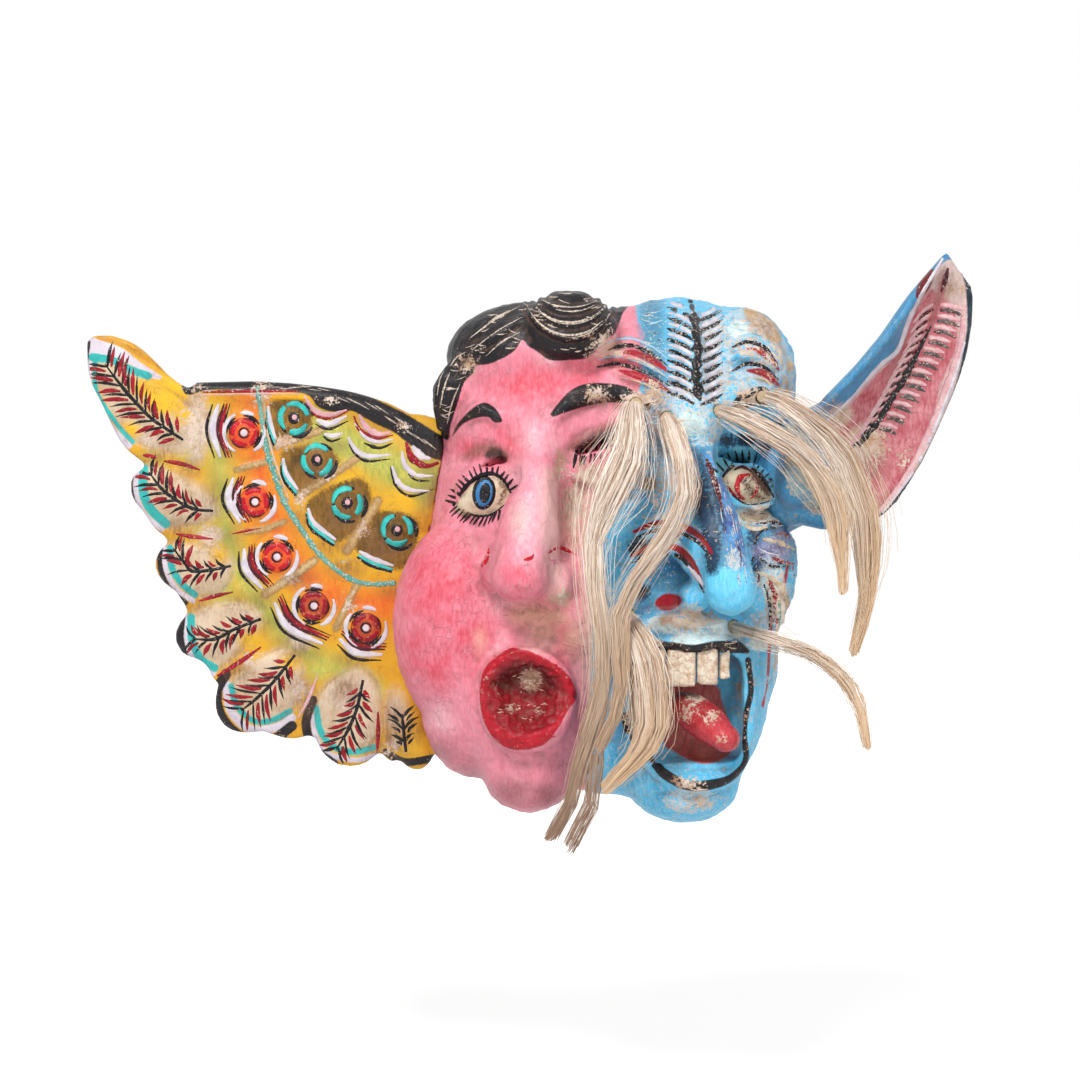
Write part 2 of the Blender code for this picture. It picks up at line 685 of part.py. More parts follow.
def ear_leaf(inset, shift):
    """A leaf with the ear's outline, upright, its middle line at x = 0."""
    low = EAR_OUTLINE[0][0] + inset
    high = EAR_OUTLINE[-1][0] - inset
    widest = max((right - left) / 2 for _, left, right in EAR_OUTLINE)
    bpy.ops.mesh.primitive_uv_sphere_add(segments=32, ring_count=28, radius=1.0)
    obj = collect(bpy.context.object, TOOLS)
    for vertex in obj.data.vertices:
        x, y, z = vertex.co
        ring = max(math.hypot(x, y), 0.001)
        height = low + (high - low) * (z + 1.0) / 2
        half = ear_edges(height)[1] * EAR_SPREAD
        deep = EAR_DEPTH * math.sqrt(half / widest)
        draw = min(1.0, 2.0 * math.sqrt(max(0.0, 1.0 - abs(z))))
        vertex.co = Vector((x / ring * max(1.0, half - inset) * draw,
                            y / ring * max(1.0, deep - inset) * draw + shift, height - RIM_TOP)) * MM
    return obj


def ear_placed(obj):
    """Turns the upright leaf to the side and slides each height of it to its place."""
    turn = Matrix.Rotation(math.radians(EAR_YAW), 4, "Z")
    for vertex in obj.data.vertices:
        middle = ear_edges(vertex.co.z / MM + RIM_TOP)[0]
        vertex.co = turn @ vertex.co + Vector((middle, EAR_Y, 0.0)) * MM
    return obj


def make_ear(fit):
    body = ear_leaf(0.0, 0.0)
    hollow = ear_leaf(EAR_WALL, -EAR_DISH)
    bpy.ops.mesh.primitive_cube_add(size=1.0)
    face = collect(bpy.context.object, TOOLS)
    ahead = EAR_FACE * MM - FACE_BLOCK[1] / 2
    face.data.transform(Matrix.Translation((0.0, ahead, 0.0)) @ Matrix.Diagonal((*FACE_BLOCK, 1.0)))
    cup = ear_placed(cut(body, [face, hollow]))
    neck = blob(EAR_NECK, EAR_NECK_RADII, (0, EAR_NECK_LEAN, 0))
    ear = fuse([cup, neck], "ear", 1.6, 2)
    ear = thinned(ear, EAR_TRIANGLES)
    ear = cut(ear, [fit])
    ear = cut(ear, [tenon_block(EAR_TENON, EAR_TENON_Y, 0.0)], "UNION")
    bores = []
    for x, z in EAR_NAILS.values():
        bores += nail_bore(x, z, NAIL_END["ear"])
    return finish(cut(ear, bores), "ear", material("ear_paint", EAR_RED))


# Small pieces
def make_teeth():
    bone = material("tooth_bone", BONE, 0.5)
    for number, (left, right, low, back) in enumerate(TEETH, 1):
        middle = (left + right) / 2
        front = tooth_y(middle) + back
        tooth = block((middle, front + TOOTH_DEPTH / 2, (TOOTH_TOP + low) / 2),
                      (right - left, TOOTH_DEPTH, TOOTH_TOP - low), 1.2)
        finish(tooth, f"tooth_{number}", bone)


def make_tongue():
    x, z = TONGUE_ROOT
    body = [roll([(x, -71, z), (49, -80, -77), (58, -88, -83), (64, -92, -88)], [7.5, 10, 10, 7.5]),
            blob((65, -93, -89), (7.5, 7, 7)),
            bar((x, -74.0, z), (x, -53.0, z), TONGUE_PEG, 16)]
    tongue = thinned(fuse(body, "tongue", 1.2, 2), TONGUE_TRIANGLES)
    finish(tongue, "tongue", material("tongue_paint", TONGUE_RED, 0.4), 60.0)


def make_nails():
    iron = material("nail_iron", IRON, 0.5, 1.0)
    for nails, end in ((WING_NAILS, NAIL_END["wing"]), (EAR_NAILS, NAIL_END["ear"])):
        for name, (x, z) in nails.items():
            shank = bar((x, -GAP - 0.2, z), (x, end, z), NAIL_SHANK, 8)
            head = bar((x, -GAP, z), (x, -GAP - NAIL_HEAD_THICK, z), NAIL_HEAD, 10)
            finish(cut(shank, [head], "UNION"), name, iron)


def smooth_route(points, count):
    """Points spaced along a smooth curve through the given ones."""
    ends = [points[0] * 2 - points[1], *points, points[-1] * 2 - points[-2]]
    result = []
    for number in range(count):
        place = number / (count - 1) * (len(points) - 1)
        leg = min(int(place), len(points) - 2)
        t = place - leg
        a, b, c, d = ends[leg:leg + 4]
        result.append(0.5 * (2 * b + (c - a) * t + (2 * a - 5 * b + 4 * c - d) * t * t
                             + (3 * b - a - 3 * c + d) * t ** 3))
    return result


def tuft_pivot(name):
    """The point that a tuft turns about, just in front of its binding."""
    x, y, z = hole_mouth(name)
    return Vector((x, y - BINDING_PROUD - TUFT_ROOT - GAP, z))


def make_tufts():
    hair = material("horsehair", HAIR, 0.5)
    thread = material("binding_thread", THREAD, 0.8)
    for name, tuft in TUFTS.items():
        pivot = tuft_pivot(name)
        count = 3 * len(tuft["route"])
        line = smooth_route([pivot, *[Vector(point) for point in tuft["route"]]], count)
        pieces = [blob(pivot, (TUFT_ROOT, TUFT_ROOT, TUFT_ROOT), fine=16)]
        for lock in range(tuft["locks"]):
            side = 2.0 * lock / (tuft["locks"] - 1) - 1.0
            points = []
            radii = []
            for number, point in enumerate(line[:count - 2 * (lock % 2)]):
                t = number / (count - 1)
                ahead = line[min(number + 1, count - 1)] - line[max(number - 1, 0)]
                across = Vector((-ahead.z, 0.0, ahead.x)).normalized()
                fan = tuft["spread"] * math.sin(math.pi * min(1.0, 0.15 + 0.85 * t)) ** 0.7 if t > 0.02 else 0.0
                points.append(point + across * side * fan * min(1.0, 6.0 * t))
                radii.append(tuft["thick"] * (1.0 - 0.45 * t))
            pieces.append(roll(points, radii, sides=2))
        bundle = thinned(fuse(pieces, name, 1.2, 2), tuft["triangles"])
        finish(bundle, name, hair, 60.0)
        x, y, z = hole_mouth(name)
        binding = bar((x, y - BINDING_PROUD, z), (x, y + HOLE_DEPTH - 1.0, z), BINDING_DIAMETER, 12)
        finish(binding, name.replace("tuft", "binding"), thread)


FRONT = carved_front()
WORK = bmesh.new()
WORK.from_mesh(FRONT.data)
FRONT_TREE = BVHTree.FromBMesh(WORK)
WORK.free()


def front_y(x, z):
    """Where the carved front lies at x and z, or over its top edge."""
    struck = FRONT_TREE.ray_cast(at(x, -200.0, z), Vector((0.0, 1.0, 0.0)))[0]
    return round(struck.y / MM, 1) if struck else TOP_EDGE_Y


SHELL = sawn_shell(FRONT)
WING_FIT = grown(SHELL, 0.45)
EAR_FIT = grown(SHELL, 0.45)
SHELL = cut(SHELL, [blob(HOLLOW_CENTRE, HOLLOW_RADII, fine=24), *mouth_cutters()])
SHELL = cut(SHELL, slot_cutters())
SHELL = cut(SHELL, hair_grooves())
SHELL = main_body(cut(SHELL, seat_cutters()))
finish(SHELL, "mask_shell", material("shell_paint", PINK))
make_wing(WING_FIT)
make_ear(EAR_FIT)
make_teeth()
make_tongue()
make_nails()
make_tufts()

for tuft_name in TUFTS:
    place = at(*tuft_pivot(tuft_name))
    print("turning point of", tuft_name, [round(value, 5) for value in place])
for part in PARTS.objects:
    print(part.name, sum(len(face.vertices) - 2 for face in part.data.polygons), "triangles")
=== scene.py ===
"""Looks of the two-faced dance mask: carved and painted wood, brush strokes, horsehair, teeth and tongue.

Places on the painted front are given as pixels of the 1080 x 1080 photograph and are cast from the
camera onto the carved surface. Sizes are in millimetres.
"""
import math
import random

import bmesh
import bpy
import numpy as np
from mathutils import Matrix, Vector, noise
from mathutils.bvhtree import BVHTree


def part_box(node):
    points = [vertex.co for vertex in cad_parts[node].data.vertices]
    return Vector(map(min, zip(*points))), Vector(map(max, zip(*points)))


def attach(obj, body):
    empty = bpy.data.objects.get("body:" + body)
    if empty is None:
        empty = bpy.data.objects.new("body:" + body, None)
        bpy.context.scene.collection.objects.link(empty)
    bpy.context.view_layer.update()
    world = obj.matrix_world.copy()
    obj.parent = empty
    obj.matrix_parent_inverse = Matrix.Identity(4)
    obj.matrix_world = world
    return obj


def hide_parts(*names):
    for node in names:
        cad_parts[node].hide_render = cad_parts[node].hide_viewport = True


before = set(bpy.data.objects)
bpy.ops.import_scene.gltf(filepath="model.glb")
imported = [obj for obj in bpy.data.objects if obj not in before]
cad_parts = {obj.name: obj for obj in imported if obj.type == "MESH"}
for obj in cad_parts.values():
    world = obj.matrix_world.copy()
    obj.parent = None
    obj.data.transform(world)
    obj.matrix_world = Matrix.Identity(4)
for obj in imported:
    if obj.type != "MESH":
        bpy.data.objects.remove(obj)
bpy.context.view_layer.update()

MM = 0.001
PHOTO = 1080                                    # side of the photograph in pixels
LENS = 66.667
SENSOR = 36.0
FOCUS = PHOTO * LENS / SENSOR                   # picture plane's distance in pixels
CAMERA_PLACE = Vector((-0.0275, -1.090, -0.107))
PIXELS_A_MM = 2.0                               # on the front of the faces
DICE = random.Random(11)
noise.seed_set(11)                              # the noise is the same in every run

# Palette of the mask
PINK, PALE_PINK, BLUSH = "#EE8799", "#F59FB0", "#DF5667"
BLUE, PALE_BLUE, DEEP_BLUE = "#46C0F0", "#84D4F5", "#3585B8"
GESSO, PALE_WOOD, DIRT = "#E8D3C1", "#D0AA8C", "#70503F"
BLACK, SOFT_BLACK = "#0E0C10", "#201D22"
LIP_RED, DARK_RED, MAROON = "#BE1A2C", "#6E0E17", "#552029"
IVORY = "#DED0BA"
RAW_WOOD, DARK_WOOD = "#B98F5F", "#8A6238"


def linear(code):
    """A hex colour as linear light."""
    parts = [int(code[first:first + 2], 16) / 255.0 for first in (1, 3, 5)]
    light = [part / 12.92 if part <= 0.04045 else ((part + 0.055) / 1.055) ** 2.4 for part in parts]
    return (*light, 1.0)


# Camera, light and floor
WHITE = (1.0, 1.0, 1.0, 1.0)
ROOM_LIGHT = 0.36
LAMP_AIM = Vector((0.0, -0.05, -0.1))           # the middle of the faces
LAMPS = (                                       # name, place, width in metres, watts
    ("key_softbox", (-0.45, -1.20, 1.05), 0.6, 22.0),
    ("fill_softbox", (0.95, -1.20, 0.15), 1.2, 5.0),
)
FLOOR_SIDE = 8.0
FLOOR_PLACE = (0.0, 1.5, -0.42)
FLOOR_TONE = 0.80
FLOOR_GLOW = 0.66                               # brings the lit floor to white and leaves the shadow
GLOW_MIDDLE = (0.0, -1.4, 0.0)                  # under the mask, from the middle of the floor
GLOW_NEAR, GLOW_FAR = 0.5, 1.6                  # metres from there over which the floor goes to plain white
# Where the sheet of painted shade behind the hollow stands, and its size
WALL_PLACE = (0.002, 0.002, -0.12)
WALL_SIZE = (0.12, 0.18, 1.0)


def make_camera():
    camera = bpy.data.objects.new("photo_camera", bpy.data.cameras.new("photo_camera"))
    camera.data.lens = LENS
    camera.data.sensor_width = SENSOR
    camera.location = CAMERA_PLACE
    camera.rotation_euler = (math.radians(90.0), 0.0, 0.0)
    bpy.context.scene.collection.objects.link(camera)
    bpy.context.scene.camera = camera


def add(tree, kind, inputs=(), **settings):
    """Adds a shader node with its settings. Its inputs, in their order or by name, get values or the
    outputs of other nodes."""
    made = tree.nodes.new("ShaderNode" + kind)
    for key, value in settings.items():
        setattr(made, key, value)
    for key, value in inputs.items() if isinstance(inputs, dict) else enumerate(inputs):
        if isinstance(value, bpy.types.NodeSocket):
            tree.links.new(value, made.inputs[key])
        else:
            made.inputs[key].default_value = value
    return made.outputs


def new_material(name):
    """A material and its empty node tree."""
    paint = bpy.data.materials.new(name)
    paint.use_nodes = True
    paint.node_tree.nodes.clear()
    return paint, paint.node_tree


def make_light(name, place, width, power):
    lamp = bpy.data.lights.new(name, "AREA")
    lamp.shape = "DISK"
    lamp.size = width
    lamp.energy = power
    obj = bpy.data.objects.new(name, lamp)
    obj.location = place
    obj.rotation_euler = (LAMP_AIM - Vector(place)).to_track_quat("-Z", "Y").to_euler()
    bpy.context.scene.collection.objects.link(obj)


def looked_at(tree):
    """One for rays that look at a thing, straight, mirrored or through glass, and nothing for its light."""
    path = add(tree, "LightPath")
    seen = path["Is Camera Ray"]
    for kind in ("Is Transmission Ray", "Is Glossy Ray"):
        seen = add(tree, "Math", {0: seen, 1: path[kind]}, operation="MAXIMUM")[0]
    return seen


def make_world():
    """White to the camera and in reflections, softer as light on the mask."""
    world = bpy.data.worlds.new("white_room")
    world.use_nodes = True
    bpy.context.scene.world = world
    tree = world.node_tree
    tree.nodes.clear()
    strength = add(tree, "MapRange", {"Value": looked_at(tree), "To Min": ROOM_LIGHT, "To Max": 1.0})
    back = add(tree, "Background", {"Color": WHITE, "Strength": strength[0]})
    add(tree, "OutputWorld", {"Surface": back[0]})


def make_floor():
    """Pale floor well under the mask, white to the camera where no shadow falls."""
    bpy.ops.object.select_all(action="DESELECT")
    bpy.ops.mesh.primitive_plane_add(size=FLOOR_SIDE, location=FLOOR_PLACE)
    floor = bpy.context.object
    floor.name = "pale_floor"
    paint, tree = new_material("pale_floor")
    matt = add(tree, "BsdfDiffuse", {"Color": (FLOOR_TONE, FLOOR_TONE, FLOOR_TONE, 1.0)})
    place = add(tree, "TexCoord")["Object"]
    away = add(tree, "VectorMath", {0: place, 1: GLOW_MIDDLE}, operation="DISTANCE")["Value"]
    glow = add(tree, "MapRange", {"Value": away, "From Min": GLOW_NEAR, "From Max": GLOW_FAR,
                                  "To Min": FLOOR_GLOW, "To Max": 1.0})[0]
    glow = add(tree, "Emission", {"Color": WHITE, "Strength": glow})
    bright = add(tree, "AddShader", {0: matt[0], 1: glow[0]})
    mixed = add(tree, "MixShader", {0: looked_at(tree), 1: matt[0], 2: bright[0]})
    add(tree, "OutputMaterial", {"Surface": mixed[0]})
    floor.data.materials.append(paint)


def make_wall_shade():
    """A dark sheet of painted shade behind the hollow, met only by sight lines through the slots and the
    mouth.
    """
    bpy.ops.object.select_all(action="DESELECT")
    bpy.ops.mesh.primitive_plane_add(size=1.0, location=WALL_PLACE, rotation=(math.radians(90.0), 0.0, 0.0))
    wall = bpy.context.object
    wall.name = "painted_shade_sheet_behind"
    wall.scale = WALL_SIZE
    paint, tree = new_material("painted_shade_sheet")
    away = add(tree, "NewGeometry")["Backfacing"]
    seen = add(tree, "Math", {0: looked_at(tree), 1: away}, operation="SUBTRACT")[0]
    seen = add(tree, "Math", {0: seen, 1: 0.0}, operation="MAXIMUM")[0]
    clear = add(tree, "BsdfTransparent")
    # dark brown painted shade for what is seen through the slots and the mouth
    dim = add(tree, "BsdfDiffuse", {"Color": linear("#2A2320")})
    mixed = add(tree, "MixShader", {0: seen, 1: clear[0], 2: dim[0]})
    add(tree, "OutputMaterial", {"Surface": mixed[0]})
    wall.data.materials.append(paint)


bpy.context.scene.view_settings.view_transform = "Standard"
make_camera()
make_world()
make_floor()
make_wall_shade()
for lamp in LAMPS:
    make_light(*lamp)


# Meshes
def new_object(name, points, faces):
    mesh = bpy.data.meshes.new(name)
    mesh.from_pydata(points, [], faces)
    obj = bpy.data.objects.new(name, mesh)
    bpy.context.scene.collection.objects.link(obj)
    return obj


def only(obj):
    """Makes this the one selected and active object."""
    bpy.ops.object.select_all(action="DESELECT")
    obj.select_set(True)
    bpy.context.view_layer.objects.active = obj
    return obj


def applied(obj, kind, **settings):
    """Adds a modifier and applies it."""
    step = obj.modifiers.new(kind.lower(), kind)
    for key, value in settings.items():
        setattr(step, key, value)
    only(obj)
    bpy.ops.object.modifier_apply(modifier=step.name)
    return obj


def turn_outward(obj):
    """Makes every face of closed shapes look outward."""
    work = bmesh.new()
    work.from_mesh(obj.data)
    bmesh.ops.recalc_face_normals(work, faces=work.faces)
    work.to_mesh(obj.data)
    work.free()


WELD = 0.00001                                  # metres within which points are one


def carved_copy(node, name, voxel, smooth):
    """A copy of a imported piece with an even, fine mesh that can be carved and painted."""
    obj = bpy.data.objects.new(name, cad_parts[node].data.copy())
    bpy.context.scene.collection.objects.link(obj)
    obj.data.materials.clear()
    work = bmesh.new()
    work.from_mesh(obj.data)
    bmesh.ops.remove_doubles(work, verts=work.verts, dist=WELD)
    work.to_mesh(obj.data)
    work.free()
    applied(obj, "REMESH", mode="VOXEL", voxel_size=voxel * MM)
    applied(obj, "SMOOTH", factor=0.5, iterations=smooth)
    only(obj)
    bpy.ops.object.shade_smooth()
    return obj


def smooth_line(points, spacing, closed=False):
    """Evenly stepped points on a smooth curve through the given ones."""
    knots = [np.array(point, float) for point in points]
    if closed:
        knots = [knots[-1], *knots, knots[0], knots[1]]
    else:
        knots = [2 * knots[0] - knots[1], *knots, 2 * knots[-1] - knots[-2]]
    line = []
    for a, b, c, d in zip(knots, knots[1:], knots[2:], knots[3:]):
        steps = max(1, round(np.linalg.norm(c - b) / spacing))
        for number in range(steps):
            t = number / steps
            line.append(0.5 * (2 * b + (c - a) * t + (2 * a - 5 * b + 4 * c - d) * t * t
                               + (3 * b - a - 3 * c + d) * t ** 3))
    if not closed:
        line.append(knots[-2])
    return np.array(line)


TINY, FAR = 1e-9, 1e9
CARVE_STEP, OUTLINE_STEP = 4.0, 3.0             # pixels between the points of carved and of painted lines
CARVE_REACH = 2.6                               # half widths over which a ridge dies away
FADE_FLOOR = 0.12                               # share of a ridge that is left at its ends
SOFT_EDGE = 4.0                                 # mm inside an outline over which the rubbing grows
EDGE_HEIGHT = 0.35                              # mm out of the surroundings that make an edge
SIDE_TILT, FLOOR_TILT = -0.3, 0.8               # how far the sides and floor of the hollow look to the wall
PAINT_TAPER = 0.3                               # part of a painted line in which it narrows
FRONT_TILT = 0.25                               # how far a surface may look to the wall and still be painted
RIM_DEPTH = 2.0                                 # the flat back rim, in mm from the wall
UNPAINTED = -30.0                               # mm from a paint zone where it has no effect
ZONE_REACH = 60.0                               # pixels round a zone over which its edge is measured
SKIRT = 12.0                                    # the same round a painted line, in mm
STRETCH = 0.5                                   # share of its width that a painted line keeps on a steep side


def beside(x, y, a, b):
    """How many pixels places lie from a line between two pixels, and where along it is nearest."""
    span = b - a
    t = np.clip(((x - a[0]) * span[0] + (y - a[1]) * span[1]) / max(span @ span, TINY), 0.0, 1.0)
    return np.hypot(x - a[0] - t * span[0], y - a[1] - t * span[1]), t


class Surface:
    """A carved piece as arrays: its points, its normals and where the camera sees them in the photograph."""

    def __init__(self, obj):
        self.obj = obj
        self.refresh()
        self.zones = {}
        self.net = None
        edges = np.empty(len(obj.data.edges) * 2, np.int32)
        obj.data.edges.foreach_get("vertices", edges)
        self.edges = edges.reshape(-1, 2).T
        self.joined = np.bincount(edges, minlength=len(self.points))[:, None]

    def refresh(self):
        mesh = self.obj.data
        count = len(mesh.vertices)
        self.points = np.empty(count * 3)
        mesh.vertices.foreach_get("co", self.points)
        self.points = self.points.reshape(-1, 3)
        self.normals = np.empty(count * 3, np.float32)
        mesh.vertex_normals.foreach_get("vector", self.normals)
        self.normals = self.normals.reshape(-1, 3)
        depth = self.points[:, 1] - CAMERA_PLACE.y
        self.px = PHOTO / 2 + FOCUS * (self.points[:, 0] - CAMERA_PLACE.x) / depth
        self.py = PHOTO / 2 - FOCUS * (self.points[:, 2] - CAMERA_PLACE.z) / depth
        self.front = self.normals[:, 1] < FRONT_TILT

    def place(self):
        """Puts moved points back into the mesh."""
        self.obj.data.vertices.foreach_set("co", self.points.ravel())
        self.obj.data.update()
        self.refresh()

    def tree(self):
        mesh = self.obj.data
        self.net = BVHTree.FromPolygons([tuple(point) for point in self.points],
                                        [tuple(face.vertices) for face in mesh.polygons])

    def bare_back(self, middle):
        """Which points are the bare back: the flat rim, and the hollow round an open middle."""
        self.tree()
        bare = (self.points[:, 1] > -RIM_DEPTH * MM) & (self.normals[:, 1] > FRONT_TILT)
        inward = np.einsum("ij,ij->i", self.points[:, [0, 2]] - middle, self.normals[:, [0, 2]]) < 0.0
        tilt = self.normals[:, 1]
        asked = ~bare & ((inward & (tilt > SIDE_TILT)) | (tilt > FLOOR_TILT))
        for number in np.flatnonzero(asked):
            start = Vector(self.points[number] + self.normals[number] * MM)
            bare[number] = self.net.ray_cast(start, Vector((0.0, 1.0, 0.0)))[0] is None
        return bare

    def spot(self, px, py):
        """The point and normal that the camera sees at a pixel, or nothing."""
        way = Vector(((px - PHOTO / 2) / FOCUS, 1.0, (PHOTO / 2 - py) / FOCUS)).normalized()
        point, normal, _, _ = self.net.ray_cast(CAMERA_PLACE, way)
        return point, normal

    def around(self, line, reach):
        """The front points in a box of pixels round a line, and where the camera sees them."""
        low, high = line.min(0) - reach, line.max(0) + reach
        some = np.flatnonzero(self.front & (self.px > low[0]) & (self.px < high[0])
                              & (self.py > low[1]) & (self.py < high[1]))
        return some, self.px[some], self.py[some]

    def near(self, line, reach):
        """Which front points lie within a reach in mm of a line in the photograph, and how far from it."""
        reach = reach * PIXELS_A_MM
        some, x, y = self.around(line, reach)
        best = np.full(len(some), FAR)
        along = np.zeros(len(some))
        for number, (a, b) in enumerate(zip(line[:-1], line[1:])):
            gap, t = beside(x, y, a, b)
            closer = gap < best
            best = np.where(closer, gap, best)
            along = np.where(closer, number + t, along)
        keep = best < reach
        return some[keep], best[keep] / PIXELS_A_MM, along[keep] / max(1, len(line) - 1)

    def carve(self, points, wide, high, closed=False, fade=0.15):
        """A rounded ridge, or a groove where high is negative, along a line: half width and height in mm."""
        line = smooth_line(points, CARVE_STEP, closed)
        if closed:
            line = np.vstack([line, line[:1]])
        some, gap, along = self.near(line, CARVE_REACH * wide)
        rise = high * np.exp(-(gap / wide) ** 2)
        if not closed and fade:
            rise = rise * np.clip(np.minimum(along, 1.0 - along) / fade, FADE_FLOOR, 1.0)
        self.points[some] += self.normals[some] * (rise * MM)[:, None]

    def field(self, name):
        """How far inside a paint zone each point lies, in mm."""
        if name not in self.zones:
            self.zones[name] = np.full(len(self.points), UNPAINTED)
        return self.zones[name]

    def averaged(self, points):
        """Each point as the mean of its neighbours."""
        total = np.zeros_like(points)
        a, b = self.edges
        np.add.at(total, a, points[b])
        np.add.at(total, b, points[a])
        return total / self.joined

    def soften(self, points, rounds):
        """Rubs the surface smooth inside a closed outline in the photograph."""
        some, depth = self.inside(points)
        share = np.zeros((len(self.points), 1))
        share[some, 0] = np.clip(depth / SOFT_EDGE, 0.0, 1.0)
        for _ in range(rounds):
            self.points += (self.averaged(self.points) - self.points) * share

    def inside(self, points, closed_smooth=True):
        """Which front points lie near a closed outline in the photograph, and how many mm inside it."""
        line = smooth_line(points, OUTLINE_STEP, True) if closed_smooth else np.array(points, float)
        loop = np.vstack([line, line[:1]])
        some, x, y = self.around(loop, ZONE_REACH)
        best = np.full(len(some), FAR)
        odd = np.zeros(len(some), bool)
        for a, b in zip(loop[:-1], loop[1:]):
            best = np.minimum(best, beside(x, y, a, b)[0])
            if a[1] != b[1]:
                odd ^= ((a[1] > y) != (b[1] > y)) & (x < a[0] + (y - a[1]) / (b[1] - a[1]) * (b[0] - a[0]))
        return some, np.where(odd, best, -best) / PIXELS_A_MM

    def outline(self, name, points, closed_smooth=True):
        """Adds the inside of a closed outline to a paint zone."""
        some, depth = self.inside(points, closed_smooth)
        values = self.field(name)
        values[some] = np.maximum(values[some], depth)

    def away(self, line, some, along):
        """How many mm points lie in space from the places on a line that look nearest to them."""
        spots = [self.spot(*pixel)[0] for pixel in line]
        met = [number for number, spot in enumerate(spots) if spot is not None]
        if not met:
            return np.zeros(len(some))
        marks = np.array([spots[number] for number in met])
        shares = np.array(met) / max(1, len(line) - 1)
        nearest = np.stack([np.interp(along, shares, marks[:, axis]) for axis in range(3)], 1)
        return np.linalg.norm(self.points[some] - nearest, axis=1) / MM

    def stroke(self, name, points, wide, ends=(1.0, 1.0)):
        """Adds a brush line to a paint zone: half width in mm, and the shares of it left at the ends."""
        line = smooth_line(points, OUTLINE_STEP)
        some, gap, along = self.near(line, wide + SKIRT)
        if self.net:
            gap = np.maximum(gap, STRETCH * self.away(line, some, along))
        grow = np.minimum(ends[0] + (1.0 - ends[0]) * along / PAINT_TAPER,
                          ends[1] + (1.0 - ends[1]) * (1.0 - along) / PAINT_TAPER)
        values = self.field(name)
        values[some] = np.maximum(values[some], wide * np.minimum(grow, 1.0) - gap)

    def spots(self, name, places):
        """Adds round patches to a paint zone: pixel x, pixel y, radius in mm, and height over width."""
        for px, py, radius, tall in places:
            gap = np.hypot(self.px - px, (self.py - py) / tall) / PIXELS_A_MM
            middle = self.spot(px, py)[0] if self.net else None
            if middle is not None:
                off = (self.points - np.array(middle)) / (MM, MM, MM * tall)
                gap = np.maximum(gap, STRETCH * np.linalg.norm(off, axis=1))
            values = self.field(name)
            np.maximum(values, np.where(self.front, radius - gap, UNPAINTED), out=values)

    def roughen(self, size, high, some=None):
        """Uneven tool work all over the front: the size and height of the bumps in mm."""
        some = np.flatnonzero(self.front) if some is None else some
        lift = np.array([noise.noise(Vector(point) / (size * MM)) for point in self.points[some]]) * high * MM
        self.points[some] += self.normals[some] * lift[:, None]

    def relief(self, rounds):
        """How much each point stands out of its surroundings, about -1 in a crease to 1 on an edge."""
        soft = self.points
        for _ in range(rounds):
            soft = self.averaged(soft)
        return np.clip(np.einsum("ij,ij->i", self.points - soft, self.normals) / (EDGE_HEIGHT * MM), -1.0,
                       1.0)

    def store(self):
        """Writes the paint zones as attributes that the material reads."""
        for name, values in self.zones.items():
            layer = self.obj.data.attributes.new(name, "FLOAT", "POINT")
            layer.data.foreach_set("value", values.astype(np.float32))


# Paints
CHIP, BLOTCH, BRISTLE, GRIT, CRAZING = 1.7, 12.0, 1.4, 0.5, 8.0     # widths in mm of what the paint shows
BRISTLE_DRAW = (1.0, 1.0, 0.3)                  # the brush was drawn up and down
CRAZING_BEND = (0.012, 0.012, 0.012)            # how far the cracks wander, in metres
STROKE_CHIP, STROKE_PATCH = 1.3, 5.0            # the same on single strokes


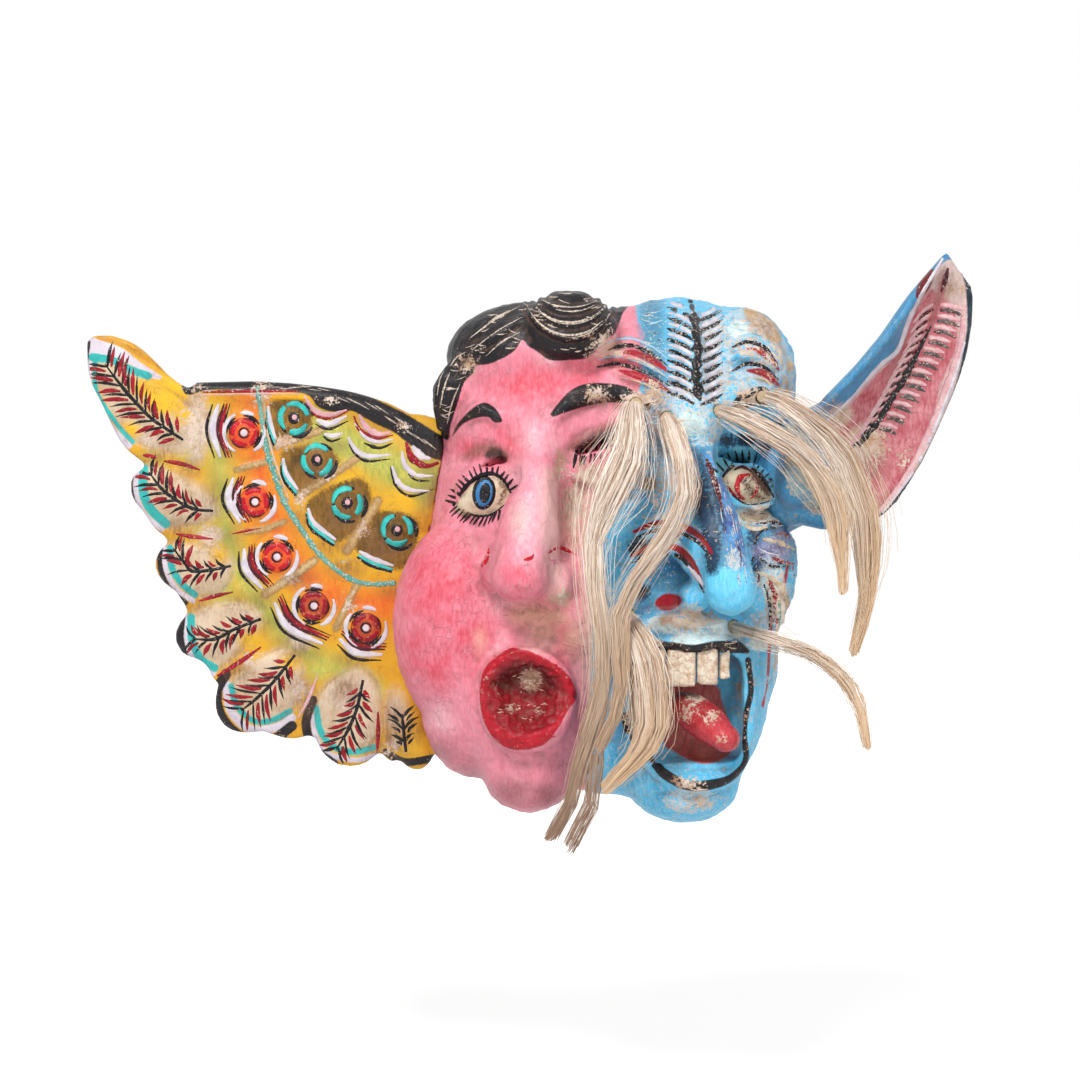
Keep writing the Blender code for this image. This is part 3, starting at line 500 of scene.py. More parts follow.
def painted_wood(name, ground, layers, rough=0.36):
    """Brush paint on carved wood: satin, mottled by the brush, ragged at the edge of each colour, crazed,
    rubbed off to the pale ground on edges and in patches, grimy in patches and cracks, and darker and
    browner in the creases."""
    paint, tree = new_material(name)
    place = add(tree, "TexCoord")["Object"]
    drawn = add(tree, "Mapping", {"Vector": place, "Scale": BRISTLE_DRAW})[0]
    (chips, _), (blotch, drift), (bristle, _), (grit, _) = [
        add(tree, "TexNoise", {"Vector": where, "Scale": 1.0 / (width * MM), "Detail": detail,
                               "Roughness": harsh})
        for where, width, detail, harsh in ((place, CHIP, 5.0, 0.68), (place, BLOTCH, 4.0, 0.6),
                                            (drawn, BRISTLE, 3.0, 0.5), (place, GRIT, 2.0, 0.5))]
    stands, wear, dirty = [add(tree, "Attribute", attribute_name=zone)["Fac"]
                           for zone in ("relief", "wear", "grime")]

    # Fine cracks, which only some patches have
    bent = add(tree, "VectorMath", [drift, CRAZING_BEND, place], operation="MULTIPLY_ADD")[0]
    cells = add(tree, "TexVoronoi", {"Vector": bent, "Scale": 1.0 / (CRAZING * MM)},
                feature="DISTANCE_TO_EDGE")
    crazed = add(tree, "MapRange", [cells["Distance"], 0.0, 0.03, 1.0, 0.0])[0]
    patches = add(tree, "MapRange", [blotch, 0.47, 0.6])[0]
    crazed = add(tree, "Math", [crazed, patches], operation="MULTIPLY")[0]

    # The colours, one over the other, each in two tones
    mottle = add(tree, "Math", [blotch, 0.6], operation="MULTIPLY")[0]
    mottle = add(tree, "Math", [bristle, 0.4, mottle], operation="MULTIPLY_ADD")[0]
    mottle = add(tree, "MapRange", [mottle, 0.36, 0.64])[0]
    colour = add(tree, "MixRGB", [mottle, linear(ground[0]), linear(ground[1])])[0]
    for zone, (first, second), soft, ragged in layers:
        inside = add(tree, "Attribute", attribute_name=zone)["Fac"]
        shaken = add(tree, "Math", [chips, ragged, inside], operation="MULTIPLY_ADD")[0]
        factor = add(tree, "MapRange", [shaken, ragged / 2 - soft, ragged / 2 + soft])[0]
        tones = add(tree, "MixRGB", [mottle, linear(first), linear(second)])[0]
        colour = add(tree, "MixRGB", [factor, colour, tones])[0]

    # Chips down to the ground
    worn = add(tree, "MapRange", [wear, -6.0, 5.0, 0.0, 0.20])[0]
    edges = add(tree, "MapRange", [stands, 0.3, 1.0, 0.0, 0.06])[0]
    loose = add(tree, "Math", [worn, edges], operation="ADD")[0]
    for speckle, share in ((grit, 0.15), (blotch, 0.25), (chips, 0.6)):
        loose = add(tree, "Math", [speckle, share, loose], operation="MULTIPLY_ADD")[0]
    chipped = add(tree, "MapRange", [loose, 0.63, 0.68])[0]
    bare = add(tree, "MapRange", [blotch, 0.48, 0.64])[0]
    bare = add(tree, "MixRGB", [bare, linear(GESSO), linear(PALE_WOOD)])[0]
    colour = add(tree, "MixRGB", [chipped, colour, bare])[0]

    # Grime in patches and cracks, darker and browner in the creases, brush-streaked tone and dark specks
    grime = add(tree, "MapRange", [dirty, -6.0, 5.0, 0.0, 0.7])[0]
    # darker and browner where the surface lies below its surroundings
    creases = add(tree, "MapRange", [stands, -0.2, -1.0, 0.0, 0.5])[0]
    grime = add(tree, "Math", [grime, creases], operation="MAXIMUM")[0]
    streaks = add(tree, "MapRange", [bristle, 0.35, 0.62, 0.3, 1.0])[0]
    grime = add(tree, "Math", [grime, streaks], operation="MULTIPLY")[0]
    cracks = add(tree, "Math", [crazed, 0.28], operation="MULTIPLY")[0]
    grime = add(tree, "Math", [grime, cracks], operation="MAXIMUM")[0]
    colour = add(tree, "MixRGB", [grime, colour, linear(DIRT)])[0]
    shade = add(tree, "Math", [grit, 0.4], operation="MULTIPLY")[0]
    shade = add(tree, "Math", [bristle, 0.6, shade], operation="MULTIPLY_ADD")[0]
    shade = add(tree, "MapRange", [shade, 0.36, 0.64, 0.94, 1.06])[0]
    colour = add(tree, "HueSaturation", {"Color": colour, "Value": shade})[0]
    specks = add(tree, "MapRange", [grit, 0.30, 0.42, 0.35, 0.0])[0]
    patches = add(tree, "MapRange", [blotch, 0.42, 0.6])[0]
    specks = add(tree, "Math", [specks, patches], operation="MULTIPLY")[0]
    colour = add(tree, "MixRGB", [specks, colour, linear(DIRT)])[0]

    # Gloss and the thickness of the paint
    gloss = add(tree, "MapRange", [chipped, 0.0, 1.0, rough, 0.8])[0]
    sanded = add(tree, "MapRange", [grit, 0.3, 0.7, -0.06, 0.10])[0]
    gloss = add(tree, "Math", [gloss, sanded], operation="ADD")[0]
    height = chips
    for part, share in ((grit, 0.25), (bristle, 0.6), (chipped, -0.5), (crazed, -0.6)):
        height = add(tree, "Math", [part, share, height], operation="MULTIPLY_ADD")[0]
    bump = add(tree, "Bump", {"Height": height, "Strength": 0.7, "Distance": 0.5 * MM})[0]
    shader = add(tree, "BsdfPrincipled", {"Base Color": colour, "Roughness": gloss, "Normal": bump,
                                          "Specular IOR Level": 0.2, "Coat Weight": 0.08,
                                          "Coat Roughness": 0.2})
    add(tree, "OutputMaterial", {"Surface": shader[0]})
    return paint


def brush_paint(name, first, second):
    """One colour laid on thickly with a brush: mottled along the stroke and rubbed off in specks."""
    paint, tree = new_material(name)
    place = add(tree, "TexCoord")["Object"]
    chips, patch = [
        add(tree, "TexNoise", {"Vector": place, "Scale": 1.0 / (width * MM), "Detail": detail,
                               "Roughness": harsh})[0]
        for width, detail, harsh in ((STROKE_CHIP, 5.0, 0.72), (STROKE_PATCH, 2.0, 0.5))]
    mottle = add(tree, "MapRange", [patch, 0.35, 0.65])[0]
    colour = add(tree, "MixRGB", [mottle, linear(first), linear(second)])[0]
    worn = add(tree, "Attribute", attribute_name="worn")["Fac"]
    loose = add(tree, "Math", [worn, 0.4, chips], operation="MULTIPLY_ADD")[0]
    chipped = add(tree, "MapRange", [loose, 0.66, 0.73])[0]
    colour = add(tree, "MixRGB", [chipped, colour, linear(GESSO)])[0]
    gloss = add(tree, "MapRange", [chipped, 0.0, 1.0, 0.36, 0.8])[0]
    bump = add(tree, "Bump", {"Height": chips, "Strength": 0.5, "Distance": 0.3 * MM})[0]
    shader = add(tree, "BsdfPrincipled", {"Base Color": colour, "Roughness": gloss, "Normal": bump,
                                          "Specular IOR Level": 0.2})
    add(tree, "OutputMaterial", {"Surface": shader[0]})
    return paint


POTS = {
    "black": ("#100E12", "#211E24"),
    "ash": ("#B9AC9E", "#8E8278"),
    "white": ("#E4DEE4", "#CFC5CF"),
    "cream": ("#DFCBAF", "#C8AE8B"),
    "red": ("#A81C2A", "#821722"),
    "bright_red": ("#CE1F2C", "#B81A28"),
    "maroon": ("#5E222C", "#421A23"),
    "violet": ("#4A4C94", "#5F6FB4"),
    "pink": ("#E3BBBE", "#D9A0A7"),
    "rose": ("#D9798A", "#E58C9B"),
    "teal": ("#3FCFC4", "#38B0AE"),
    "sea_green": ("#4A9D93", "#6AAA9C"),
    "pale_blue": ("#A9D6EA", "#8CC4E2"),
    "orange": ("#E8632A", "#D8442C"),
    "rust": ("#C8552F", "#A8402C"),
    "yellow": ("#EDAE1C", "#DD9420"),
    "iris_blue": ("#4A8EC6", "#3878B4"),
    "grey": ("#69605E", "#4B4446"),
}
for pot, pair in POTS.items():
    POTS[pot] = brush_paint(pot + "_brush_paint", *pair)


STEEP = 3.6                                     # a stroke breaks where the surface falls back faster
SLIP = 0.6                                      # mm of fall that never break it
SHORT_STEP, LONG_STEP = 1.0, 2.2                # pixels between the rings of a stroke
STROKE_RINGS = 12.0                             # rings that a short stroke should have
BROAD = 2.2                                     # mm from which a stroke has five points across
TAPER_IN, TAPER_OUT = 0.3, 0.4                  # the parts of a stroke in which it widens and narrows
SHAKE_SIZE, PATCH_SHAKE = 0.21, 0.23            # how fast the edges of strokes and patches wander
STROKE_ROOT, PATCH_ROOT = -0.5, -0.8            # how deep strokes and patches reach under the surface, in mm
PATCH_RINGS = (0.34, 0.68, 0.93)                # where a patch has rings of points inside its outline
PATCH_EDGE = -0.08                              # how high its outline lies, in mm


class Brush:
    """Strokes of thick paint on one surface, gathered by colour."""

    def __init__(self, surface, where, body, slot):
        self.surface, self.where, self.body, self.slot = surface, where, body, slot
        self.piles = {}
        surface.tree()

    def pile(self, pot):
        return self.piles.setdefault(pot, {"points": [], "faces": [], "worn": []})

    def rest(self, px, py, lift):
        """A point over the surface at a pixel, or nothing where the camera doesn't see the surface."""
        point, _ = self.surface.spot(px, py)
        return None if point is None else point + (CAMERA_PLACE - point).normalized() * (lift * MM)

    def line(self, pot, points, wide, ends=(0.35, 0.2), worn=0.1, lift=0.14, closed=False, shake=0.12,
             under=-0.05, steep=STEEP):
        """A stroke of a width in mm, narrowed to shares of it at its ends. Lift raises its middle and under
        its edges."""
        reach = sum(math.dist(a, b) for a, b in zip(points, points[1:]))
        line = smooth_line(points, min(LONG_STEP, max(SHORT_STEP, reach / STROKE_RINGS)), closed)
        if closed:
            line = np.vstack([line, line[:1]])
        ahead = np.gradient(line, axis=0)
        ahead /= np.maximum(np.linalg.norm(ahead, axis=1), 1e-6)[:, None]
        sides = (-1.0, -0.5, 0.0, 0.5, 1.0) if wide > BROAD else (-1.0, 0.0, 1.0)
        run = []
        for number, (spot, way) in enumerate(zip(line, ahead)):
            t = number / (len(line) - 1)
            grow = min(1.0, ends[0] + (1.0 - ends[0]) * t / TAPER_IN,
                       ends[1] + (1.0 - ends[1]) * (1.0 - t) / TAPER_OUT)
            wave = noise.noise(Vector((spot[0] * SHAKE_SIZE, spot[1] * SHAKE_SIZE, len(points))))
            rough = 1.0 + shake * (wave * 2.0)
            half = 0.5 * wide * PIXELS_A_MM * grow * rough
            across = np.array((-way[1], way[0])) * half
            ring = [self.rest(*(spot + across * side), lift * (1.0 - side * side) + under * side * side)
                    for side in sides]
            root = self.rest(*spot, STROKE_ROOT)
            seen = root is not None and None not in ring
            depths = [point.y for point in ring] if seen else [0.0]
            if not seen or max(depths) - min(depths) > (steep * half + SLIP) * MM:
                self.close(pot, run, worn)
                run = []
                continue
            fall = steep * np.linalg.norm(spot - line[number - 1]) / PIXELS_A_MM + SLIP
            if run and abs(ring[len(sides) // 2].y - run[-1][len(sides) // 2].y) > fall * MM:
                self.close(pot, run, worn)
                run = []
            run.append([*ring, root])
        self.close(pot, run, worn)

    def close(self, pot, run, worn):
        """Turns the rings of one stroke into a closed skin."""
        if len(run) < 2:
            return
        pile = self.pile(pot)
        base = len(pile["points"])
        many = len(run[0])
        for ring in run:
            pile["points"] += [tuple(point) for point in ring]
            pile["worn"] += [worn] * many
        for row in range(len(run) - 1):
            for column in range(many):
                a = base + row * many + column
                b = base + row * many + (column + 1) % many
                pile["faces"].append((a, b, b + many, a + many))
        pile["faces"].append(tuple(base + column for column in reversed(range(many))))
        pile["faces"].append(tuple(base + (len(run) - 1) * many + column for column in range(many)))

    def patch(self, pot, points, worn=0.1, lift=0.14, smooth=True, shake=0.0):
        """A filled shape with a closed outline of pixels, seen whole from its middle."""
        loop = smooth_line(points, OUTLINE_STEP, True) if smooth else np.array(points, float)
        middle = loop.mean(0)
        rings = []
        for share, rise in (*[(share, lift) for share in PATCH_RINGS], (1.0, PATCH_EDGE)):
            ring = []
            for spot in loop:
                wave = noise.noise(Vector((spot[0] * PATCH_SHAKE, spot[1] * PATCH_SHAKE, 3.1)))
                rough = 1.0 + shake * wave
                ring.append(self.rest(*(middle + (spot - middle) * share * rough), rise))
            rings.append(ring)
        top = self.rest(*middle, lift)
        under = self.rest(*middle, PATCH_ROOT)
        if top is None or under is None or any(None in ring for ring in rings):
            return
        pile = self.pile(pot)
        base = len(pile["points"])
        many = len(loop)
        flat = [top, *[point for ring in rings for point in ring], under]
        pile["points"] += [tuple(point) for point in flat]
        pile["worn"] += [worn] * len(flat)
        last = base + len(flat) - 1
        for column in range(many):
            after = (column + 1) % many
            pile["faces"].append((base, base + 1 + column, base + 1 + after))
            for row in range(len(rings) - 1):
                a = base + 1 + row * many
                pile["faces"].append((a + column, a + many + column, a + many + after, a + after))
            a = base + 1 + (len(rings) - 1) * many
            pile["faces"].append((a + after, a + column, last))

    def oval(self, pot, middle, radii, turn=0.0, **more):
        """A filled oval: radii in mm, turned in degrees."""
        self.patch(pot, arc(middle, radii, 0.0, 360.0, turn)[:-1], **more)

    def dry(self):
        """Makes one piece of each colour."""
        for pot, pile in self.piles.items():
            obj = new_object(f"{self.where}_{pot}_strokes", pile["points"], pile["faces"])
            turn_outward(obj)
            layer = obj.data.attributes.new("worn", "FLOAT", "POINT")
            layer.data.foreach_set("value", pile["worn"])
            only(obj)
            bpy.ops.object.shade_smooth()
            obj.data.materials.append(POTS[pot])
            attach(obj, self.body)


def arc(middle, radii, first, last, turn=0.0, count=16):
    """Pixels along part of an oval round a pixel: radii in mm, angles in degrees from the right."""
    lean = math.radians(turn)
    points = []
    for number in range(count + 1):
        angle = math.radians(first + (last - first) * number / count)
        x = radii[0] * PIXELS_A_MM * math.cos(angle)
        y = radii[1] * PIXELS_A_MM * math.sin(angle)
        points.append((middle[0] + x * math.cos(lean) - y * math.sin(lean),
                       middle[1] - x * math.sin(lean) - y * math.cos(lean)))
    return points


# The carved shell: two faces that share the middle eye
shell_piece = carved_copy("mask_shell", "carved_faces", 1.2, 4)
shell = Surface(shell_piece)

HAIRLINE = [(446, 440), (424, 413), (421, 388), (428, 358), (446, 332), (454, 316), (490, 296), (520, 284),
            (544, 274), (572, 270), (606, 272), (620, 288), (630, 302), (623, 313), (615, 333), (606, 339),
            (589, 357), (570, 360), (550, 360), (538, 352), (528, 346), (522, 340), (513, 352), (492, 363),
            (475, 366), (474, 372), (464, 383), (458, 402), (451, 424)]
BLUE_SIDE = [(632, 280), (638, 322), (646, 335), (642, 380), (636, 400), (618, 450), (606, 510), (596, 560),
             (592, 620), (590, 700), (586, 760), (584, 850), (760, 860), (840, 700), (840, 300), (740, 270)]
LEFT_BROW = [(452, 437), (456, 426), (467, 413), (479, 404), (487, 403), (495, 408), (501, 417), (502, 422),
             (494, 422), (488, 417), (476, 418), (463, 424), (456, 432)]
MIDDLE_BROW = [(550, 415), (556, 406), (570, 391), (585, 384), (604, 383), (624, 386), (637, 393),
               (652, 404), (646, 411), (637, 406), (622, 403), (604, 403), (587, 406), (567, 412),
               (553, 417)]
RIGHT_BROW = [(732, 406), (738, 395), (752, 388), (765, 387), (771, 395), (763, 403), (747, 408), (735, 411)]
LEFT_EYE = [(455, 508), (464, 493), (476, 481), (489, 476), (500, 479), (509, 489), (504, 504), (493, 513),
            (478, 517), (464, 515)]
RIGHT_EYE = [(722, 478), (730, 469), (739, 465), (750, 468), (759, 478), (767, 490), (772, 499), (757, 503),
             (743, 502), (731, 493)]
LID_ROOTS = [(721, 475), (729, 466), (740, 461), (752, 464), (762, 474), (770, 486), (775, 497)]
LID_TIPS = [(713, 468), (723, 455), (741, 449), (759, 454), (773, 466), (782, 480), (786, 493)]
PINK_LIPS = [(480, 684), (484, 670), (492, 660), (510, 648), (524, 650), (532, 652), (550, 661), (563, 670),
             (573, 682), (577, 698), (568, 710), (559, 727), (543, 745), (516, 750), (496, 741), (484, 722),
             (480, 703)]
PINK_BOWL = [(486, 686), (494, 670), (511, 657), (530, 659), (550, 669), (564, 684), (567, 698), (558, 716),
             (542, 730), (514, 734), (494, 722), (486, 704)]
PINK_BOWL_SHADE = [(492, 682), (500, 669), (514, 662), (534, 665), (550, 676), (556, 688), (540, 697),
               (512, 694), (496, 692)]
MOUTH_HOLE = [(669, 688), (714, 685), (722, 701), (733, 735), (731, 745), (728, 756), (708, 764),
              (689, 760), (672, 750), (664, 741)]
WRINKLES = ([(608, 350), (620, 346), (634, 346), (652, 354), (668, 366)],
            [(597, 367), (618, 364), (645, 372), (670, 386)],
            [(732, 347), (747, 342), (764, 347), (778, 364)],
            [(732, 371), (747, 364), (764, 367), (779, 380)])
UPPER_FOLD = [(634, 532), (650, 525), (663, 523), (678, 525), (690, 530), (702, 539), (712, 553)]
LOWER_FOLD = [(632, 556), (650, 547), (666, 546), (680, 550), (693, 564), (704, 586)]
SPINE = [(690, 300), (695, 319), (697, 335), (698, 355), (696, 370), (697, 384), (700, 399)]
UPPER_LIP = [(640, 645), (656, 645), (672, 648), (693, 651), (718, 647), (746, 648)]
LOWER_LIP = [(640, 745), (653, 761), (666, 775), (687, 785), (708, 785), (729, 779), (742, 767)]
RIGHT_LIP = [(748, 660), (751, 690), (746, 714), (744, 735), (746, 758), (738, 774)]
MOUTH_BACK = 45.0                               # all of the devil's mouth lies further from the wall, in mm
HOLLOW_MIDDLE = np.array((0.002, -0.12))
CHIPPED_CHEEK = [(744, 508), (775, 506), (798, 512), (800, 600), (785, 650), (756, 640), (758, 590),
                 (752, 545)]
BLUE_FOREHEAD = [(640, 296), (700, 290), (770, 300), (796, 350), (796, 400), (740, 396), (690, 420),
                 (648, 400)]
RIGHT_LID = [(717, 476), (727, 458), (745, 448), (764, 458), (780, 482), (795, 510)]


def curl(drop):
    """One U-shaped lock of the carved curl, by how far its bottom hangs down in pixels."""
    half = 28.0 + 0.38 * drop
    return [(570 + half * math.cos(angle), 286 + drop * math.sin(angle))
            for angle in (math.pi * number / 8 for number in range(9))]


def carve_faces():
    shell.soften([(690, 545), (755, 545), (760, 600), (690, 600)], 10)
    shell.soften([(470, 360), (600, 360), (600, 400), (470, 400)], 30)
    for points in WRINKLES:
        shell.carve([(x, y + 9) for x, y in points], 3.0, 1.3)
        shell.carve(points, 1.4, -1.2)
    for points in (UPPER_FOLD, LOWER_FOLD):
        shell.carve([(x, y - 9) for x, y in points], 3.6, 1.6)
        shell.carve(points, 1.5, -1.5)
    for drop in (16, 30, 44, 58):
        shell.carve(curl(drop), 1.3, -1.0)
        shell.carve(curl(drop - 7), 2.0, 0.9)
    for points in ([(466, 346), (494, 328), (522, 309)], [(474, 357), (500, 341), (524, 322)],
                   [(446, 404), (452, 380), (466, 358)], [(439, 420), (440, 396), (452, 366)],
                   [(464, 366), (466, 352), (462, 340)]):
        shell.carve(points, 1.5, -1.3)
    shell.carve(LEFT_EYE, 1.4, -0.9, closed=True)
    shell.carve([(450, 500), (462, 479), (480, 466), (497, 467), (513, 482)], 2.6, 1.3)
    shell.carve(RIGHT_EYE, 1.4, -1.0, closed=True)
    shell.carve(RIGHT_LID, 2.6, 1.3)
    shell.carve([(571, 472), (590, 464), (612, 452), (624, 444)], 1.6, -1.0)
    shell.carve(SPINE, 2.6, 1.2)
    shell.carve([(752, 548), (758, 533), (774, 526), (793, 532)], 2.0, -1.6)
    shell.carve([(757, 560), (772, 568), (792, 566)], 2.0, -1.6)
    shell.carve([(765, 540), (779, 543), (795, 551)], 2.6, 1.4)
    shell.carve([(765, 582), (770, 606), (768, 634)], 1.8, -1.2)
    shell.carve([(640, 800), (662, 794), (690, 800), (716, 797), (738, 786)], 2.4, -1.4)
    shell.carve([(640, 612), (665, 618), (700, 623), (736, 620)], 2.6, 1.2)
    shell.carve([(484, 600), (480, 580), (488, 556)], 1.6, -1.4)
    shell.carve([(500, 606), (522, 612), (545, 606)], 2.0, -0.8)
    shell.carve([(506, 800), (530, 792), (560, 796)], 2.6, -0.8)
    shell.soften(PINK_LIPS, 45)
    shell.carve([(502, 682), (526, 676), (552, 686)], 7.0, -2.6, fade=0.0)
    shell.carve([(x + (527 - x) * 0.06, y + (700 - y) * 0.06) for x, y in PINK_LIPS], 1.5, 0.9, closed=True)
    shell.carve([(480, 684), (498, 685), (516, 690)], 1.6, -1.8)
    shell.carve([(578, 697), (562, 694), (548, 692)], 1.6, -1.4)
    shell.carve([(498, 724), (510, 734), (528, 738), (546, 732), (558, 720)], 4.2, 1.8)
    shell.carve([(496, 706), (520, 716), (545, 712), (562, 702)], 2.0, -1.0)
    some, depth = shell.inside(PINK_LIPS)
    shell.roughen(2.2, 1.3, some[depth > 0.5])
    shell.roughen(5.0, 1.2, some[depth > 2.0])
    for worked, size, high in ((CHIPPED_CHEEK, 2.8, 1.0), (CHIPPED_CHEEK, 6.0, 1.0),
                               (BLUE_FOREHEAD, 5.0, 0.8)):
        some, depth = shell.inside(worked)
        shell.roughen(size, high, some[depth > 0.0])
    shell.roughen(9.0, 0.5)
    shell.roughen(3.5, 0.35)
    shell.place()


def zone_faces():
    shell.front = ~shell.bare_back(HOLLOW_MIDDLE)
    shell.outline("blue", BLUE_SIDE, closed_smooth=False)
    for shape in (HAIRLINE, LEFT_BROW, MIDDLE_BROW, RIGHT_BROW):
        shell.outline("black", shape)
    shell.stroke("black", UPPER_LIP, 3.1, ends=(0.5, 0.9))
    shell.stroke("black", LOWER_LIP, 2.6, ends=(0.5, 0.5))
    shell.stroke("black", RIGHT_LIP, 1.5)
    shell.stroke("black", [(625, 716), (628, 730), (634, 740)], 2.0)
    shell.stroke("black", SPINE, 1.8, ends=(0.6, 0.6))
    for points in (LEFT_EYE, RIGHT_EYE):
        shell.outline("eye", points)
    shell.outline("blush", [(486, 380), (505, 370), (530, 364), (560, 368), (592, 366), (596, 384),
                            (585, 400), (545, 404), (500, 400)])
    shell.spots("blush", [(444, 590, 20, 1.5), (470, 640, 13, 1.2), (520, 580, 9, 1.0), (560, 640, 8, 1.6),
                          (474, 447, 9, 0.6), (430, 650, 14, 1.5), (455, 545, 8, 0.8), (505, 445, 8, 1.2)])
    shell.spots("light", [(535, 520, 10, 2.4), (545, 360, 8, 0.5), (500, 600, 6, 1.2), (536, 440, 10, 0.8),
                          (490, 645, 8, 1.0), (520, 470, 6, 1.4), (515, 790, 8, 0.6), (440, 720, 8, 0.8)])
    # Painted shade: darker pink over the pink chin and jaw
    shell.spots("chin_shade", [(512, 790, 12, 0.7), (545, 796, 10, 0.7), (470, 776, 9, 0.8),
                               (440, 752, 8, 0.9)])
    # Painted light: pale peach over the right side of the pink nose, which the lamps leave in shade, and a
    # few spots on the nose and cheek
    shell.stroke("peach_painted_light", [(549, 478), (552, 510), (555, 545), (558, 585)], 5.0, ends=(0.6, 0.8))
    shell.spots("peach_painted_light", [(540, 640, 8, 0.8), (585, 640, 5, 3.0), (520, 520, 3, 1.6)])
    # Painted shadow round the sight slots: near-black brown in and above each slot, and painted shade under
    # the brows
    shell.outline("hollow", [(484, 455), (488, 449), (496, 447), (502, 450), (506, 456), (506, 461),
                             (496, 459), (488, 459)])
    shell.stroke("brow_shade", [(466, 457), (478, 451), (492, 449), (506, 456)], 3.4, ends=(0.4, 0.8))
    shell.stroke("brow_shade", [(568, 450), (580, 440), (598, 432), (616, 425)], 3.0, ends=(0.6, 0.8))
    shell.outline("hollow", [(573, 447), (588, 438), (606, 430), (622, 425), (622, 436), (606, 443),
                             (592, 447), (578, 450)])
    shell.outline("tan", [(516, 607), (545, 605), (564, 612), (568, 622), (550, 628), (524, 626), (510, 618)])
    shell.spots("tan", [(545, 632, 5, 0.7), (572, 640, 4, 1.6), (480, 640, 1, 2.0)])
    shell.outline("bare", [(746, 306), (760, 312), (774, 324), (782, 340), (776, 344), (764, 338),
                           (752, 326), (744, 314)])
    shell.spots("bare", [(592, 474, 3, 0.8), (648, 484, 4.5, 0.7), (790, 366, 2, 1.6)])
    shell.spots("tan", [(736, 316, 5, 1.0), (592, 474, 5, 0.8), (648, 482, 6, 0.8), (467, 367, 3, 1.0),
                        (560, 600, 5, 0.8), (572, 520, 5, 2.4), (645, 500, 6, 1.0)])
    shell.field("dry")[:] = np.where(shell.field("blue") > 0, -1.7, UNPAINTED)
    shell.spots("dry", [(680, 410, 14, 0.9), (655, 420, 10, 1.2), (705, 430, 9, 0.8), (715, 350, 9, 2.6),
                        (748, 336, 10, 0.9), (768, 352, 10, 1.0), (752, 382, 10, 0.7), (785, 380, 7, 2.0),
                        (740, 320, 8, 0.8), (690, 620, 17, 0.5), (735, 560, 3, 1.6), (752, 515, 8, 0.8),
                        (640, 430, 8, 2.0), (690, 800, 13, 0.5), (772, 440, 10, 1.6), (768, 600, 9, 2.4),
                        (638, 690, 8, 3.0), (660, 470, 8, 1.6), (785, 660, 6, 3.0)])
    np.minimum(shell.field("dry"), 0.7, out=shell.field("dry"))
    shell.spots("chalk", [(718, 630, 14, 0.4), (665, 624, 9, 0.5), (690, 640, 10, 0.3), (764, 514, 10, 0.5),
                          (746, 517, 7, 0.6), (772, 590, 5, 1.8), (784, 620, 5, 2.0), (760, 644, 6, 0.6),
                          (690, 425, 8, 0.8), (742, 330, 7, 0.6)])
    np.minimum(shell.field("chalk"), 3.2, out=shell.field("chalk"))
    shell.outline("teal", [(640, 300), (660, 298), (666, 330), (668, 400), (690, 440), (712, 450),
                           (724, 520), (722, 566), (706, 560), (690, 500), (660, 440), (646, 400)])
    shell.spots("teal", [(716, 545, 8, 2.4), (668, 575, 12, 0.8), (748, 452, 9, 0.5), (640, 605, 10, 0.7),
                         (775, 545, 13, 1.0), (790, 480, 8, 2.0), (730, 640, 8, 0.5)])
    shell.stroke("purple", [(712, 460), (722, 486), (730, 516), (738, 545), (742, 562)], 6.0, ends=(0.7, 0.5))
    shell.spots("dusk", [(774, 550, 8, 0.9), (762, 552, 6, 1.0), (784, 536, 5, 0.7)])
    # Painted shade in dark navy: down the left flank of the devil's nose and in small hollows of the cheek
    # curl and the eye
    shell.stroke("dark", [(700, 480), (706, 510), (712, 540), (712, 570)], 5.0, ends=(0.5, 0.5))
    shell.stroke("dark", [(700, 456), (708, 480), (718, 506), (724, 530)], 2.6, ends=(0.4, 0.3))
    shell.spots("dark", [(757, 566, 3, 1.4), (754, 536, 3, 1.6), (770, 480, 1, 1.0)])
    shell.stroke("stain", [(752, 470), (760, 480), (768, 494)], 2.6, ends=(0.6, 0.6))
    shell.stroke("stain", [(744, 481), (752, 492), (764, 499)], 1.4, ends=(0.4, 0.4))
    shell.stroke("stain", [(499, 480), (505, 490), (499, 503)], 1.0, ends=(0.4, 0.4))
    shell.stroke("lid", [((a + c) / 2, (b + d) / 2) for (a, b), (c, d) in zip(LID_ROOTS, LID_TIPS)], 4.2,
                 ends=(0.7, 0.7))
    # More painted shade in dark navy: under the devil's brow, beside his nose and in his cheeks
    shell.spots("dark", [(745, 440, 6, 0.6), (728, 441, 5, 0.7), (642, 592, 5, 0.8), (640, 548, 6, 0.9),
                         (790, 520, 4, 1.6)])
    shell.outline("lips", PINK_LIPS)
    shell.outline("bowl", PINK_BOWL)
    # Darkest red across the top of the pink mouth's bowl: the paint's dark red, darkened further as painted
    # shade under the upper lip
    shell.outline("deep_red_and_painted_shade", PINK_BOWL_SHADE)
    shell.spots("crumbs", [(531, 680, 5.5, 0.95), (510, 709, 1.5, 0.6), (536, 711, 1.0, 0.6)])
    shell.outline("mouth", MOUTH_HOLE)
    shell.field("mouth")[shell.points[:, 1] > -MOUTH_BACK * MM] = UNPAINTED
    shell.outline("left_wall", [(636, 652), (652, 660), (656, 700), (652, 735), (640, 745), (630, 730),
                                (629, 690)])
    shell.outline("nostril", [(655, 602), (664, 594), (678, 595), (682, 602), (672, 610), (660, 610)])
